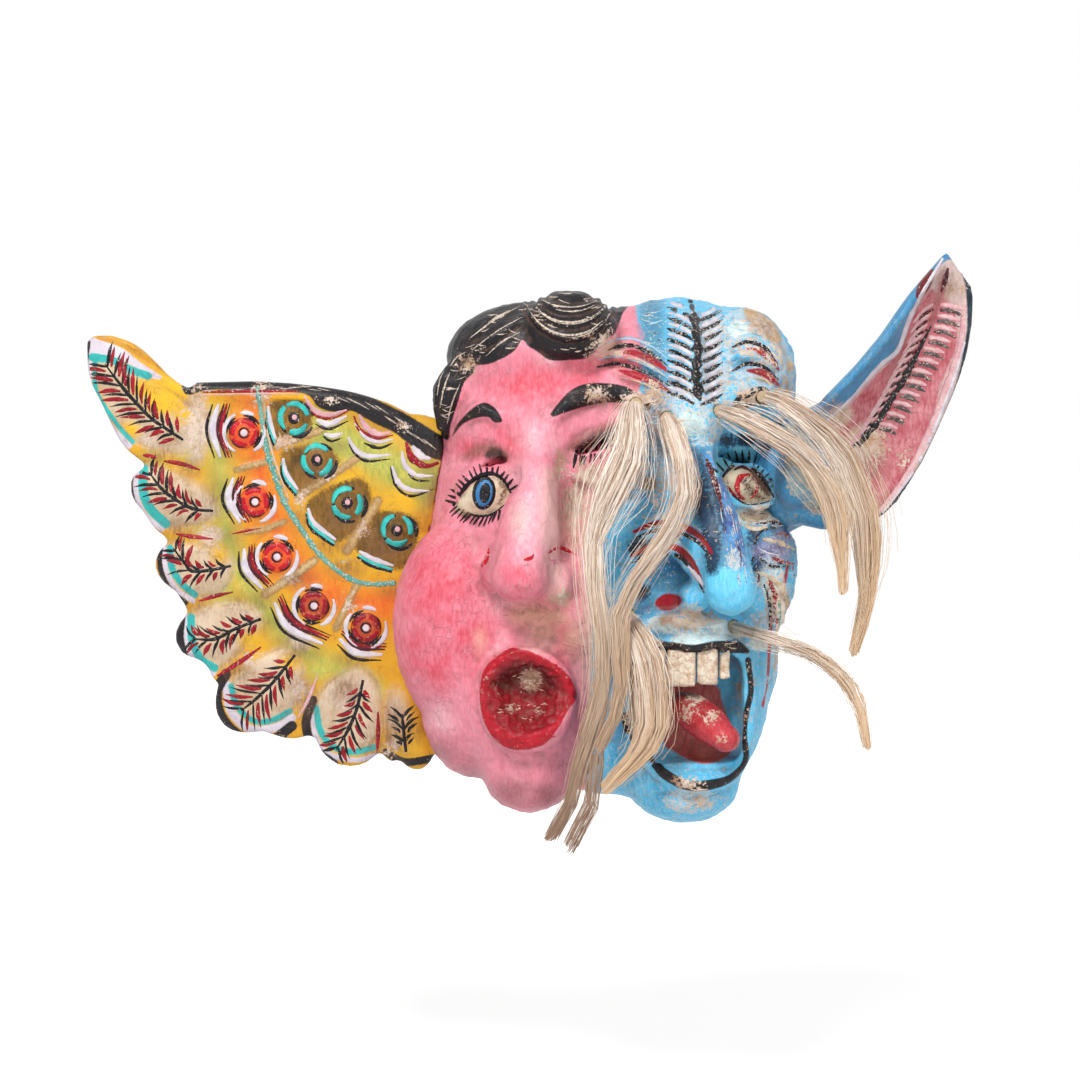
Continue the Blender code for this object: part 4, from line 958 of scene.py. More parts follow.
    # Bright sky blue on the devil's nose tip and in a small patch, and painted light on the shaded right wall
    # inside his mouth
    shell.outline("sky_blue_and_painted_light", [(700, 592), (708, 574), (728, 568), (748, 580), (754, 598), (744, 616),
                          (716, 618), (702, 608)])
    shell.outline("sky_blue_and_painted_light", [(719, 672), (745, 666), (746, 700), (740, 726), (730, 712), (722, 690)])
    shell.outline("sky_blue_and_painted_light", [(610, 518), (620, 513), (629, 520), (627, 534), (614, 535)])
    for points in WRINKLES:
        shell.stroke("crescent", [(x + 1, y + 6.5) for x, y in points][1:], 1.9, ends=(0.4, 0.3))
    for points in (UPPER_FOLD, LOWER_FOLD):
        shell.stroke("crescent", points, 1.7, ends=(0.5, 0.4))
    shell.stroke("crescent", [(770, 580), (777, 606), (777, 634)], 1.1)
    shell.stroke("crescent", [(788, 562), (783, 590), (777, 606), (771, 624), (769, 654), (767, 684),
                              (763, 706)], 0.9)
    shell.spots("wear", [(530, 682, 2.0, 0.95), (512, 709, 3, 0.5), (536, 712, 2, 0.5), (606, 350, 8, 1.1),
                         (640, 690, 9, 2.4), (690, 620, 15, 0.35), (755, 514, 8, 0.6), (563, 598, 4, 1.0),
                         (764, 326, 9, 0.9), (700, 802, 7, 0.4), (655, 395, 6, 1.2), (690, 782, 5, 0.5),
                         (778, 605, 7, 2.4), (600, 395, 6, 0.8), (635, 398, 7, 0.7), (755, 396, 8, 0.6),
                         (640, 640, 8, 0.7), (740, 690, 4, 3.0), (655, 500, 6, 1.4), (785, 660, 5, 2.6),
                         (748, 345, 6, 0.8), (774, 356, 6, 1.4), (786, 395, 5, 1.6), (468, 366, 4, 1.0),
                         (775, 360, 5, 1.2), (718, 400, 5, 0.7), (790, 430, 5, 2.0), (576, 500, 7, 2.6),
                         (590, 476, 7, 0.9), (560, 470, 4, 2.0), (600, 520, 6, 2.4), (640, 470, 6, 1.4)])
    shell.spots("grime", [(592, 474, 5, 0.8), (648, 482, 7, 0.8), (655, 545, 8, 0.6), (764, 326, 5, 0.9),
                          (475, 540, 3, 0.7), (548, 570, 2, 3.0), (570, 500, 6, 2.0), (600, 470, 8, 0.7),
                          (490, 560, 2, 1.6), (785, 480, 6, 2.0), (655, 430, 8, 2.0), (524, 765, 1, 0.5)])
    shell.field("raw")[:] = np.where(shell.front, -6.0, 6.0)
    shell.field("relief")[:] = shell.relief(7)
    shell.store()


carve_faces()
zone_faces()
shell_piece.data.materials.append(painted_wood("painted_carved_wood", (PINK, PALE_PINK), [
    ("light", (PALE_PINK, "#FBC3CB"), 5.0, 5.0),
    ("blush", (BLUSH, PINK), 6.0, 5.0),
    # painted shade on the chin and jaw
    ("chin_shade", ("#B86E78", "#CE808C"), 7.0, 5.0),
    # painted light on the shaded right side of the pink nose
    ("peach_painted_light", ("#FFD6CE", "#FFBEBC"), 5.0, 6.0),
    ("tan", ("#FFCFBB", "#E0A78F"), 4.0, 7.0),
    # painted shade under the brows and painted shadow above the sight slots
    ("brow_shade", ("#8E5450", "#B8706E"), 2.4, 3.0),
    ("hollow", ("#2E1E1C", "#5C3A38"), 1.2, 4.0),
    ("blue", (BLUE, PALE_BLUE), 0.5, 1.6),
    ("teal", ("#5F9CB0", DEEP_BLUE), 3.0, 10.0),
    ("purple", ("#4C4F94", "#64B4EC"), 2.0, 14.0),
    ("dusk", ("#77709A", "#9FA6C4"), 2.0, 9.0),
    ("dry", ("#B9D3E4", "#DDD3C6"), 0.7, 16.0),
    ("chalk", ("#FAF8F2", "#C6E8EA"), 1.0, 13.0),
    # sky blue paint, and painted light inside the devil's mouth
    ("sky_blue_and_painted_light", ("#5CCEF9", "#8ADDFB"), 1.0, 4.0),
    # dark navy painted shade
    ("dark", ("#16222E", "#2F5474"), 1.6, 13.0),
    ("bare", ("#E3C499", "#B98E5E"), 0.8, 3.0),
    ("nostril", (LIP_RED, DARK_RED), 0.5, 1.5),
    ("crescent", (LIP_RED, "#93222D"), 0.3, 1.6),
    ("lid", ("#5FB2C8", "#86CBD8"), 0.6, 2.4),
    ("eye", ("#E9DAC0", "#CBB08A"), 0.3, 0.6),
    ("stain", ("#4E392E", "#7C5A42"), 0.8, 6.0),
    ("black", (BLACK, SOFT_BLACK), 0.3, 0.9),
    ("lips", ("#C4182C", "#A51526"), 0.3, 1.8),
    ("bowl", ("#86121E", "#A61A29"), 1.2, 7.0),
    # dark red paint and painted shade at the top of the bowl
    ("deep_red_and_painted_shade", ("#540A12", "#741019"), 2.0, 7.0),
    ("crumbs", ("#D2AE98", "#A87862"), 0.8, 9.0),
    ("left_wall", (IVORY, GESSO), 1.0, 2.0),
    ("mouth", ("#B23A3C", "#D87E74"), 0.6, 1.0),
    ("raw", (RAW_WOOD, DARK_WOOD), 1.0, 0.5),
]))
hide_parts("mask_shell")
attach(shell_piece, "mask")

faces = Brush(shell, "faces", "mask", "painted_shell")


def lashes(pot, roots, tips, wide, apart=2.4, worn=0.1, lift=0.9):
    """A row of short strokes between two lines of pixels."""
    first, last = smooth_line(roots, 1.0), smooth_line(tips, 1.0)
    count = max(2, round(len(first) / (wide * PIXELS_A_MM * apart)))
    for number in range(count):
        share = number / (count - 1)
        a = first[round(share * (len(first) - 1))]
        off = np.array((DICE.uniform(-1.2, 1.2), DICE.uniform(-1.2, 1.2)))
        b = last[round(share * (len(last) - 1))] + off
        faces.line(pot, [tuple(a), tuple((a + b) / 2), tuple(b)], wide * DICE.uniform(0.8, 1.2), (0.9, 0.4),
                   worn, lift, under=0.3, steep=9.0)


def dabs(pot, places, length, wide, worn=0.35):
    """Short rubbed strokes of one colour, scattered round some pixels."""
    for px, py, spread in places:
        for _ in range(5):
            x, y = px + DICE.uniform(-spread, spread), py + DICE.uniform(-spread, spread)
            run = DICE.uniform(0.5, 1.0) * length
            slope = DICE.uniform(-0.4, 0.4)
            faces.line(pot, [(x - run, y - run * slope), (x, y + 0.6), (x + run, y + run * slope)],
                       wide * DICE.uniform(0.6, 1.1), (0.3, 0.2), worn, 0.12)


def paint_pink_face():
    faces.oval("black", (484, 493), (6.0, 8.6), -8, lift=0.26, worn=0.12)
    faces.oval("iris_blue", (484, 493), (4.4, 7.2), -8, lift=0.40)
    faces.oval("black", (485, 493), (2.9, 5.4), -8, lift=0.54, worn=0.12)
    faces.line("black", [(453, 506), (460, 494), (470, 482), (482, 475), (494, 474), (504, 481),
                         (511, 493)], 2.6, (0.6, 0.4), 0.06, 0.3)
    faces.line("black", [(456, 504), (464, 511), (478, 516), (492, 514), (504, 505)], 1.4, (0.7, 0.4), 0.12,
               0.3)
    lashes("black", [(455, 503), (463, 489), (478, 476), (494, 474), (510, 490)],
           [(445, 500), (455, 483), (475, 466), (496, 465), (518, 484)], 1.2, 2.0)
    lashes("black", [(457, 506), (470, 513), (486, 516), (500, 510)],
           [(448, 512), (462, 522), (480, 526), (497, 521)], 1.0, 2.0)
    lashes("black", [(577, 450), (596, 443), (618, 432)], [(574, 468), (593, 462), (615, 450)], 1.5, 1.8)
    for a, b in (((480, 568), (489, 548)), ((496, 594), (506, 601)), ((524, 560), (534, 554))):
        faces.line("bright_red", [a, ((a[0] + b[0]) / 2 + 2, (a[1] + b[1]) / 2 + 1), b], 2.4, (0.5, 0.3),
                   0.1, steep=9.0)
    faces.line("bright_red", [(548, 553), (560, 548), (576, 555)], 2.2, (0.4, 0.3), 0.15, steep=9.0)
    dabs("cream", [(505, 708, 8), (527, 711, 9), (540, 706, 7), (522, 674, 8), (536, 684, 8)], 3, 0.6, 0.55)
    dabs("bright_red", [(500, 660, 5), (556, 668, 6), (490, 712, 5), (548, 734, 6), (520, 740, 8)], 4, 1.2,
         0.2)
    dabs("rose", [(560, 560, 8), (505, 620, 8), (575, 650, 8)], 9, 0.7, 0.2)


def paint_hair():
    for drop in (9, 23, 37, 51):
        for number in range(3):
            low = drop + DICE.uniform(-2.5, 2.5)
            line = curl(low)[DICE.randint(0, 2):DICE.randint(6, 9)]
            faces.line("ash", line, DICE.uniform(0.7, 1.5), (0.3, 0.2), 0.5, 0.14)
    for a, b in (((470, 338), (520, 306)), ((472, 350), (524, 316)), ((486, 356), (520, 332)),
                 ((440, 408), (450, 372)), ((447, 424), (460, 384)), ((450, 366), (466, 352)),
                 ((482, 330), (510, 310)), ((437, 396), (444, 370))):
        faces.line("ash", [a, ((a[0] + b[0]) / 2 - 1, (a[1] + b[1]) / 2 - 2), b], 1.2, (0.3, 0.2), 0.5, 0.14)
    dabs("ash", [(455, 380, 10), (445, 410, 7), (490, 325, 12), (510, 340, 9), (545, 325, 12),
                 (575, 345, 12), (600, 325, 10), (560, 300, 10), (590, 300, 9), (478, 345, 9),
                 (530, 305, 8)], 6, 0.9, 0.5)


def paint_blue_face():
    spine = smooth_line(SPINE, 1.0)
    for number in range(9):
        y = 303 + 10.6 * number
        faces.line("black", [(667, y + 4), (681, y + 9), (694, y + 16)], 2.6, (0.4, 0.7), 0.3, 0.16)
        faces.line("white", [(668, y - 1), (681, y + 3), (693, y + 10)], 2.5, (0.4, 0.7), 0.22, 0.24)
        faces.line("black", [(700, y + 17), (711, y + 13), (723, y + 6)], 2.4, (0.7, 0.3), 0.32, 0.16)
        faces.line("white", [(702, y + 12), (711, y + 8), (722, y + 1)], 2.3, (0.7, 0.4), 0.22, 0.24)
    for number in range(7):
        x, y = spine[round((len(spine) - 1) * (number + 0.4) / 7)]
        faces.patch("black", [(x, y - 8), (x + 6, y), (x, y + 9), (x - 6, y)], 0.2, 0.3, shake=0.3)
    for points in WRINKLES:
        faces.line("black", points, 2.3, (0.4, 0.3), 0.3, 0.22)
        faces.line("pale_blue", [(x, y - 7) for x, y in points], 2.0, (0.3, 0.3), 0.3, 0.14)
        faces.line("cream", [(x + 1, y + 13) for x, y in points][1:], 1.6, (0.3, 0.2), 0.35, 0.14)
    faces.line("black", [(776, 406), (785, 415), (791, 426)], 3.0, worn=0.4)
    faces.line("black", [(742, 400), (760, 391), (776, 398)], 2.2, worn=0.3, lift=0.26)
    faces.line("black", [(721, 479), (730, 468), (740, 463), (751, 466), (761, 477), (770, 490),
                         (776, 501)], 2.4, (0.4, 0.3), 0.25, 0.36)
    faces.line("maroon", [(734, 470), (743, 467), (752, 472)], 2.0, (0.4, 0.4), 0.15, 0.40)
    faces.line("black", [(723, 480), (732, 494), (744, 503), (758, 504), (773, 500)], 1.2, (0.5, 0.4), 0.35,
               0.34)
    faces.line("bright_red", arc((747, 487), (5.0, 6.2), 70, 260), 2.8, (0.5, 0.4), 0.25, 0.38, shake=0.3)
    faces.line("bright_red", arc((747, 487), (5.0, 6.2), 290, 415), 2.0, (0.4, 0.4), 0.35, 0.38, shake=0.3)
    faces.line("red", [(727, 486), (734, 495), (740, 499)], 2.0, (0.4, 0.4), 0.2, 0.38)
    for number in range(5):
        x, y = 748 + DICE.uniform(-5, 5), 486 + DICE.uniform(-7, 7)
        faces.line("grey", [(x - 4, y + 3), (x, y), (x + 4, y - 4)], 0.9, worn=0.4, lift=0.4)
    lashes("black", LID_ROOTS, LID_TIPS, 1.1, 2.3, 0.2, 0.7)
    faces.line("cream", [(736, 513), (752, 518), (772, 514)], 4.2, (0.4, 0.4), 0.45, 0.18)
    faces.line("cream", [(744, 526), (756, 529), (768, 527)], 2.6, (0.4, 0.4), 0.45, 0.16)
    for points, wide, pot in (([(706, 458), (713, 476), (719, 496), (723, 512)], 3.6, "maroon"),
                              ([(736, 540), (741, 556), (740, 572)], 1.0, "maroon")):
        faces.line(pot, points, wide, (0.4, 0.2), 0.25, 0.16, shake=0.4)
    for points in (UPPER_FOLD, LOWER_FOLD):
        faces.line("black", [(x, y + 7) for x, y in points], 2.8, (0.3, 0.3), 0.3, 0.2)
        faces.line("cream", [(x, y - 7) for x, y in points][1:-1], 1.2, (0.3, 0.3), 0.4, 0.14)
    faces.line("white", [(688, 566), (697, 577), (706, 590)], 2.8, (0.5, 0.4), 0.2, 0.4)
    for pot, points, wide in (("maroon", [(756, 524), (772, 522), (790, 528)], 2.0),
                              ("white", [(758, 548), (768, 553), (780, 555)], 1.2),
                              ("cream", [(752, 572), (768, 576), (782, 590), (787, 610)], 2.8),
                              ("red", [(769, 583), (775, 594), (774, 608)], 2.6),
                              ("black", [(754, 556), (752, 566), (757, 574)], 2.2),
                              ("sea_green", [(779, 600), (780, 616), (778, 632)], 1.6),
                              ("red", [(793, 566), (794, 596), (788, 632)], 2.0),
                              ("maroon", [(757, 569), (759, 577), (757, 584)], 2.0),
                              ("cream", [(763, 539), (778, 542), (795, 550)], 3.4),
                              ("red", [(772, 557), (784, 563), (795, 564)], 2.4),
                              ("red", [(774, 533), (784, 534), (792, 538)], 2.2),
                              ("black", [(764, 584), (770, 606), (769, 632)], 1.8),
                              ("cream", [(783, 584), (787, 606), (785, 632)], 2.4),
                              ("black", [(758, 556), (772, 566), (790, 566)], 1.6),
                              ("black", [(754, 545), (762, 531), (778, 527)], 1.6)):
        faces.line(pot, points, wide, (0.4, 0.3), 0.35, 0.2)
    for number in range(44):
        share = DICE.random()
        x = float(np.interp(share, [0.0, 0.5, 1.0], [716, 731, 738])) + DICE.uniform(-8, 9)
        y = 470 + 112 * share
        run = DICE.uniform(3, 8)
        pot = ("violet", "white", "pale_blue", "violet", "maroon")[number % 5]
        faces.line(pot, [(x - 0.8, y - run), (x, y), (x + 1.6, y + run)], DICE.uniform(0.4, 0.9),
                   (0.3, 0.2), 0.5, 0.14)
    dabs("black", [(650, 316, 8), (656, 334, 7), (712, 535, 7), (704, 500, 6)], 4, 0.6, 0.45)
    dabs("white", [(742, 345, 9), (768, 360, 8)], 3, 0.6, 0.5)
    dabs("grey", [(762, 550, 6), (776, 556, 5)], 3, 0.7, 0.3)
    dabs("pale_blue", [(655, 318, 8), (712, 325, 8), (745, 330, 9), (660, 425, 9), (700, 440, 8),
                       (640, 620, 8), (710, 630, 9), (770, 680, 7), (680, 805, 9), (720, 800, 8),
                       (650, 450, 8), (760, 580, 6)], 8, 1.4, 0.4)
    dabs("cream", [(680, 415, 10), (655, 395, 9), (640, 350, 8), (752, 420, 9), (690, 618, 9),
                   (735, 640, 8), (700, 790, 8), (770, 520, 8), (655, 520, 8), (730, 385, 6)], 7, 1.1, 0.5)


paint_pink_face()
paint_hair()
paint_blue_face()
faces.dry()


# The wing
wing_piece = carved_copy("wing", "carved_wing", 1.1, 4)
wing = Surface(wing_piece)

MIDRIBS = [
    ([(105, 364), (116, 379), (128, 394), (140, 407), (152, 419), (165, 428), (183, 440)], 24),
    ([(149, 472), (161, 488), (176, 500), (194, 509), (213, 511)], 20),
    ([(173, 548), (184, 562), (192, 571), (211, 570), (231, 566)], 17),
    ([(192, 639), (215, 639), (235, 629), (261, 619)], 18),
    ([(241, 711), (257, 698), (275, 680), (295, 655)], 23),
    ([(336, 750), (348, 730), (357, 708), (363, 680)], 21),
    ([(402, 714), (404, 735), (406, 752)], 15),
]
FEATHERS = [
    [(96, 360), (120, 366), (150, 380), (184, 400), (200, 425), (190, 452), (150, 448), (118, 424),
     (98, 390)],
    [(143, 466), (175, 474), (205, 490), (218, 512), (200, 524), (165, 526), (146, 506)],
    [(167, 546), (195, 545), (225, 552), (234, 567), (222, 590), (194, 596), (172, 574)],
    [(189, 617), (215, 604), (245, 604), (262, 618), (240, 650), (214, 670), (194, 656)],
    [(228, 684), (250, 664), (285, 648), (302, 668), (296, 706), (264, 724), (236, 708)],
    [(312, 708), (330, 682), (360, 668), (380, 692), (376, 740), (340, 752), (318, 734)],
]
FLOWERS = [(244, 433), (255, 502), (277, 557), (314, 606), (366, 628)]
ROUNDELS = [(294, 418), (317, 460), (347, 503), (397, 530)]
RIDGES = [([(273, 446), (297, 439), (321, 430)], 4.0), ([(298, 497), (328, 478), (357, 458)], 4.0),
          ([(347, 551), (362, 527), (378, 501)], 5.0), ([(266, 594), (290, 578), (314, 561)], 5.0),
          ([(336, 628), (346, 607), (357, 585)], 4.0), ([(236, 470), (250, 466), (268, 462)], 3.0),
          ([(246, 532), (262, 530), (284, 522)], 3.0)]
CELLS = [
    [(270, 404), (302, 400), (311, 427), (280, 442)],
    [(282, 452), (327, 447), (337, 470), (297, 493)],
    [(306, 504), (360, 478), (370, 512), (336, 542)],
    [(352, 542), (374, 512), (418, 522), (404, 568), (370, 558)],
]
TEAL_ARC = [(257, 387), (261, 413), (266, 447), (274, 473), (285, 503), (302, 530), (321, 556), (347, 577),
            (369, 584), (396, 583)]
TOP_BAND = [(184, 382), (215, 372), (260, 374), (300, 375), (330, 380), (356, 390), (382, 402), (406, 414),
            (432, 430), (452, 444), (446, 460), (427, 456), (405, 441), (395, 433), (378, 425), (365, 418),
            (352, 411), (335, 412), (318, 407), (305, 394), (260, 391), (210, 390), (187, 395)]
EDGES = (
    ("teal", [(92, 357), (114, 361), (129, 369), (148, 376)], 4.0),
    ("teal", [(95, 359), (95, 385), (101, 401), (120, 428), (133, 442)], 2.4),
    ("white", [(90, 355), (89, 385), (96, 404), (112, 428), (129, 446)], 3.0),
    ("yellow", [(99, 337), (123, 345), (147, 359), (173, 374), (186, 386)], 2.6),
    ("teal", [(144, 469), (143, 490), (150, 508), (166, 524)], 4.6),
    ("white", [(137, 468), (136, 492), (144, 514), (162, 529)], 2.8),
    ("teal", [(170, 548), (172, 568), (182, 584), (195, 595)], 3.4),
    ("white", [(164, 546), (166, 570), (177, 590), (193, 601)], 2.6),
    ("teal", [(191, 617), (192, 639), (201, 659), (215, 668)], 4.0),
    ("white", [(185, 617), (188, 647), (200, 667), (213, 674)], 3.0),
    ("teal", [(231, 686), (237, 706), (254, 721), (273, 720), (290, 711)], 3.0),
    ("white", [(226, 684), (231, 711), (250, 729), (274, 728), (292, 718)], 4.2),
    ("teal", [(316, 708), (321, 732), (334, 747), (354, 752), (375, 747)], 3.2),
    ("white", [(312, 716), (317, 740), (331, 755), (356, 760), (376, 755)], 2.6),
    ("black", [(226, 674), (217, 692), (221, 716), (240, 736), (268, 742), (292, 726)], 5.2),
    ("black", [(313, 700), (306, 724), (314, 748), (334, 764)], 4.6),
    ("black", [(386, 752), (405, 762), (436, 758)], 4.0),
    ("black", [(182, 612), (180, 640), (189, 666), (208, 680)], 4.2),
    ("black", [(161, 543), (160, 566), (169, 588), (186, 603)], 2.6),
    ("black", [(134, 466), (131, 486), (137, 510), (150, 526)], 2.0),
    ("black", [(89, 342), (86, 372), (91, 398), (104, 424)], 1.6),
)
CRESCENTS = ([(215, 404), (209, 430), (217, 458)], [(230, 478), (225, 500), (237, 524)],
             [(241, 550), (243, 571), (260, 591)],
             [(272, 605), (286, 630), (321, 647)], [(338, 642), (355, 656), (382, 658)])


def carve_wing():
    for points, wide in RIDGES:
        wing.carve(points, 0.6 * wide, 1.0)
    for points, _ in MIDRIBS[:6]:
        wing.carve(points, 1.0, -0.5)
    for shape in FEATHERS:
        wing.carve(shape, 1.6, -0.5, closed=True)
    for middle in FLOWERS + ROUNDELS:
        wing.carve(arc(middle, (8.6, 8.6), 0, 360)[:-1], 1.4, -0.5, closed=True)
    wing.place()


def zone_wing():
    wing.stroke("green", [(214, 420), (220, 470), (226, 530), (240, 575), (262, 606), (300, 650),
                          (345, 672), (372, 690)], 5.0)
    wing.stroke("green", [(322, 430), (360, 450), (400, 470), (436, 480)], 10.0)
    wing.stroke("green", [(150, 455), (200, 530), (236, 610)], 1.0)
    wing.spots("green", [(415, 490, 11, 0.8), (320, 670, 8, 0.6), (222, 585, 7, 1.4), (192, 440, 6, 1.6)])
    wing.stroke("orange", [(250, 402), (256, 440), (262, 480), (272, 515), (288, 550), (312, 582),
                           (345, 602), (385, 606)], 8.0)
    wing.spots("orange", [(244, 433, 12, 1.1), (255, 502, 12, 1.1), (277, 557, 11, 1.0),
                          (330, 592, 10, 0.9), (390, 600, 8, 0.8)])
    for shape in FEATHERS:
        wing.outline("pale", shape)
    wing.stroke("pale", [(196, 400), (204, 425), (196, 455)], 4.0)
    wing.spots("pale", [(300, 640, 6, 0.8), (395, 712, 6, 1.8), (150, 436, 8, 0.7), (210, 535, 6, 0.7),
                        (340, 690, 8, 0.8)])
    wing.spots("yellow", [(166, 394, 12, 0.9), (148, 388, 8, 0.7), (184, 412, 6, 1.0), (290, 662, 5, 0.8),
                          (250, 640, 5, 0.8), (220, 555, 4, 1.0), (290, 402, 7, 0.5), (400, 505, 9, 0.8),
                          (350, 480, 8, 0.8), (130, 430, 5, 0.8)])
    for cell in CELLS:
        wing.outline("brown", cell)
    for points, wide in RIDGES:
        wing.stroke("seam", points, 0.3 * wide + 0.8)
        wing.stroke("ridge", points, 0.28 * wide)
    for pot, points, wide in EDGES:
        wing.stroke("edge_" + pot, points, wide / 2)
    wing.outline("band", TOP_BAND)
    wing.outline("edge_white", [(88, 338), (107, 342), (125, 350), (140, 362), (162, 377), (155, 379),
                                (143, 373), (129, 364), (113, 357), (90, 355)])
    wing.spots("wear", [(196, 425, 8, 2.0), (262, 395, 5, 1.2), (345, 562, 4, 0.6), (150, 440, 6, 0.6),
                        (300, 500, 5, 0.9), (210, 536, 7, 0.8), (345, 700, 7, 1.0), (330, 400, 4, 0.5),
                        (405, 428, 4, 0.6), (285, 442, 6, 0.7), (395, 745, 6, 0.9), (250, 660, 6, 0.8),
                        (300, 690, 6, 1.3), (365, 530, 3, 1.2), (290, 580, 4, 0.7), (328, 478, 4, 0.7),
                        (350, 605, 3, 1.4)])
    wing.spots("grime", [(310, 470, 7, 1.0), (340, 515, 8, 1.0), (385, 545, 10, 0.8), (300, 650, 8, 0.7),
                         (215, 500, 5, 2.0), (345, 690, 6, 1.0), (180, 530, 6, 0.7), (395, 735, 8, 1.4),
                         (160, 455, 6, 0.6), (345, 568, 8, 0.5), (300, 580, 7, 0.6), (260, 602, 6, 0.8),
                         (200, 606, 5, 0.6), (236, 672, 6, 0.8), (306, 700, 5, 1.6), (375, 745, 5, 1.2),
                         (432, 490, 6, 2.4), (420, 600, 6, 3.0), (330, 548, 7, 0.6), (300, 520, 4, 1.0),
                         (395, 592, 6, 0.5), (350, 660, 6, 0.5), (270, 622, 5, 0.8), (230, 540, 4, 1.5),
                         (240, 604, 5, 0.8), (190, 468, 4, 1.0), (335, 446, 5, 0.5), (412, 732, 6, 0.8),
                         (225, 440, 3, 2.0), (285, 640, 4, 0.8)])
    wing.field("raw")[:] = np.where(wing.front, -6.0, 6.0)
    wing.field("relief")[:] = wing.relief(7)
    wing.store()


carve_wing()
zone_wing()
wing_piece.data.materials.append(painted_wood("painted_wing_wood", ("#E9B42E", "#DB9A2C"), [
    ("orange", ("#E9662A", "#EE8F2C"), 7.0, 7.0),
    ("green", ("#9CAA50", "#D6CC62"), 6.0, 8.0),
    ("pale", ("#E2CDB2", "#C4A482"), 2.6, 7.0),
    ("yellow", ("#F3C42A", "#E6B034"), 3.0, 5.0),
    ("brown", ("#553E12", "#A3752A"), 1.0, 6.0),
    ("seam", ("#8A6436", "#B58F58"), 0.6, 3.0),
    ("ridge", ("#DDBF8A", "#AC8450"), 0.8, 5.0),
    ("edge_white", ("#E2DAE2", "#CFC0CC"), 0.3, 0.8),
    ("edge_teal", ("#3CC4BC", "#35A6A6"), 0.3, 1.0),
    ("edge_black", (BLACK, SOFT_BLACK), 0.3, 1.0),
    ("edge_yellow", ("#D99A1E", "#C4851F"), 0.4, 1.0),
    ("band", (BLACK, SOFT_BLACK), 0.4, 0.9),
    ("raw", (RAW_WOOD, DARK_WOOD), 1.0, 0.5),
], rough=0.32))
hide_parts("wing")
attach(wing_piece, "mask")

plumes = Brush(wing, "wing", "mask", "painted_wing")


def feather(points, length):
    """A painted midrib with leaf-shaped barbs on both sides, red and black in turn, that point to the tip."""
    rib = smooth_line(points, 1.0)
    plumes.line("black", points, 2.0, (0.4, 0.8), 0.12, 0.32)
    ahead = np.gradient(rib, axis=0)
    ahead /= np.linalg.norm(ahead, axis=1)[:, None]
    for side in (-1, 1):
        for number, place in enumerate(np.arange(4, len(rib) - 3, 6.0)):
            root, way = rib[int(place)], -ahead[int(place)]
            share = place / len(rib)
            turn = math.radians(DICE.uniform(42, 56)) * side
            out = np.array((way[0] * math.cos(turn) - way[1] * math.sin(turn),
                            way[0] * math.sin(turn) + way[1] * math.cos(turn)))
            swell = 0.86 + 0.5 * math.sin(math.pi * min(1.0, share + 0.15))
            reach = length * swell * DICE.uniform(0.8, 1.05)
            bow = np.array((-out[1], out[0])) * side * -DICE.uniform(0.5, 2.2)
            pot, wide = ("red", 2.6) if number % 2 and length > 15 else ("black", 2.0)
            near = root + out * (5.0 if number % 2 else 0.0)
            plumes.line(pot, [tuple(near), tuple(root + out * reach * 0.55 + bow), tuple(root + out * reach)],
                        wide * DICE.uniform(0.75, 1.1), (0.45, 0.15), 0.12, 0.22, shake=0.15)


def flower(middle, turn, fresh):
    """A painted flower: orange disc, black-edged red petals, white strokes round it, a dot in a ring."""
    petal, heart = ("bright_red", "orange") if fresh else ("red", "rust")
    plumes.oval(heart, middle, (8.0, 8.0), lift=0.16, worn=0.12)
    for number in range(4):
        first = turn + 90 * number + DICE.uniform(-8, 8)
        plumes.line(petal, arc(middle, (5.7, 5.7), first + 2, first + 80), 4.0, (0.6, 0.5), 0.12, 0.28)
        plumes.line("maroon", arc(middle, (7.2, 7.2), first + 4, first + 74), 1.6, (0.4, 0.3), 0.15, 0.34)
        if number != 2:
            plumes.line("black", arc(middle, (8.6, 8.6), first + 8, first + 70), 1.9, (0.4, 0.3), 0.15, 0.30)
    for first, last in ((125, 245), (-70, 20), (60, 100)):
        plumes.line("white", arc(middle, (10.2, 10.2), first + DICE.uniform(-12, 12), last), 2.8,
                    (0.5, 0.4), 0.2, 0.26)
    plumes.line("black", arc(middle, (2.5, 2.5), 0, 340), 1.6, (0.7, 0.7), 0.1, 0.44)
    plumes.oval("white", middle, (1.8, 1.8), lift=0.5, worn=0.1)


def roundel(middle, turn):
    """A broken turquoise ring with a dark edge, round a dot."""
    for number, span in enumerate((112, 98, 86)):
        first = turn + 120 * number
        plumes.line("black", arc((middle[0] + 3, middle[1] + 2), (8.2, 8.4), first + 4, first + span), 2.6,
                    (0.5, 0.4), 0.15, 0.2)
        plumes.line("teal", arc(middle, (6.9, 7.2), first, first + span), 3.4, (0.7, 0.5), 0.1, 0.32)
    plumes.oval("black", middle, (3.0, 3.2), lift=0.3, worn=0.2)
    plumes.oval("pink", (middle[0] + 0.5, middle[1] - 0.8), (1.4, 1.5), lift=0.44, worn=0.1)


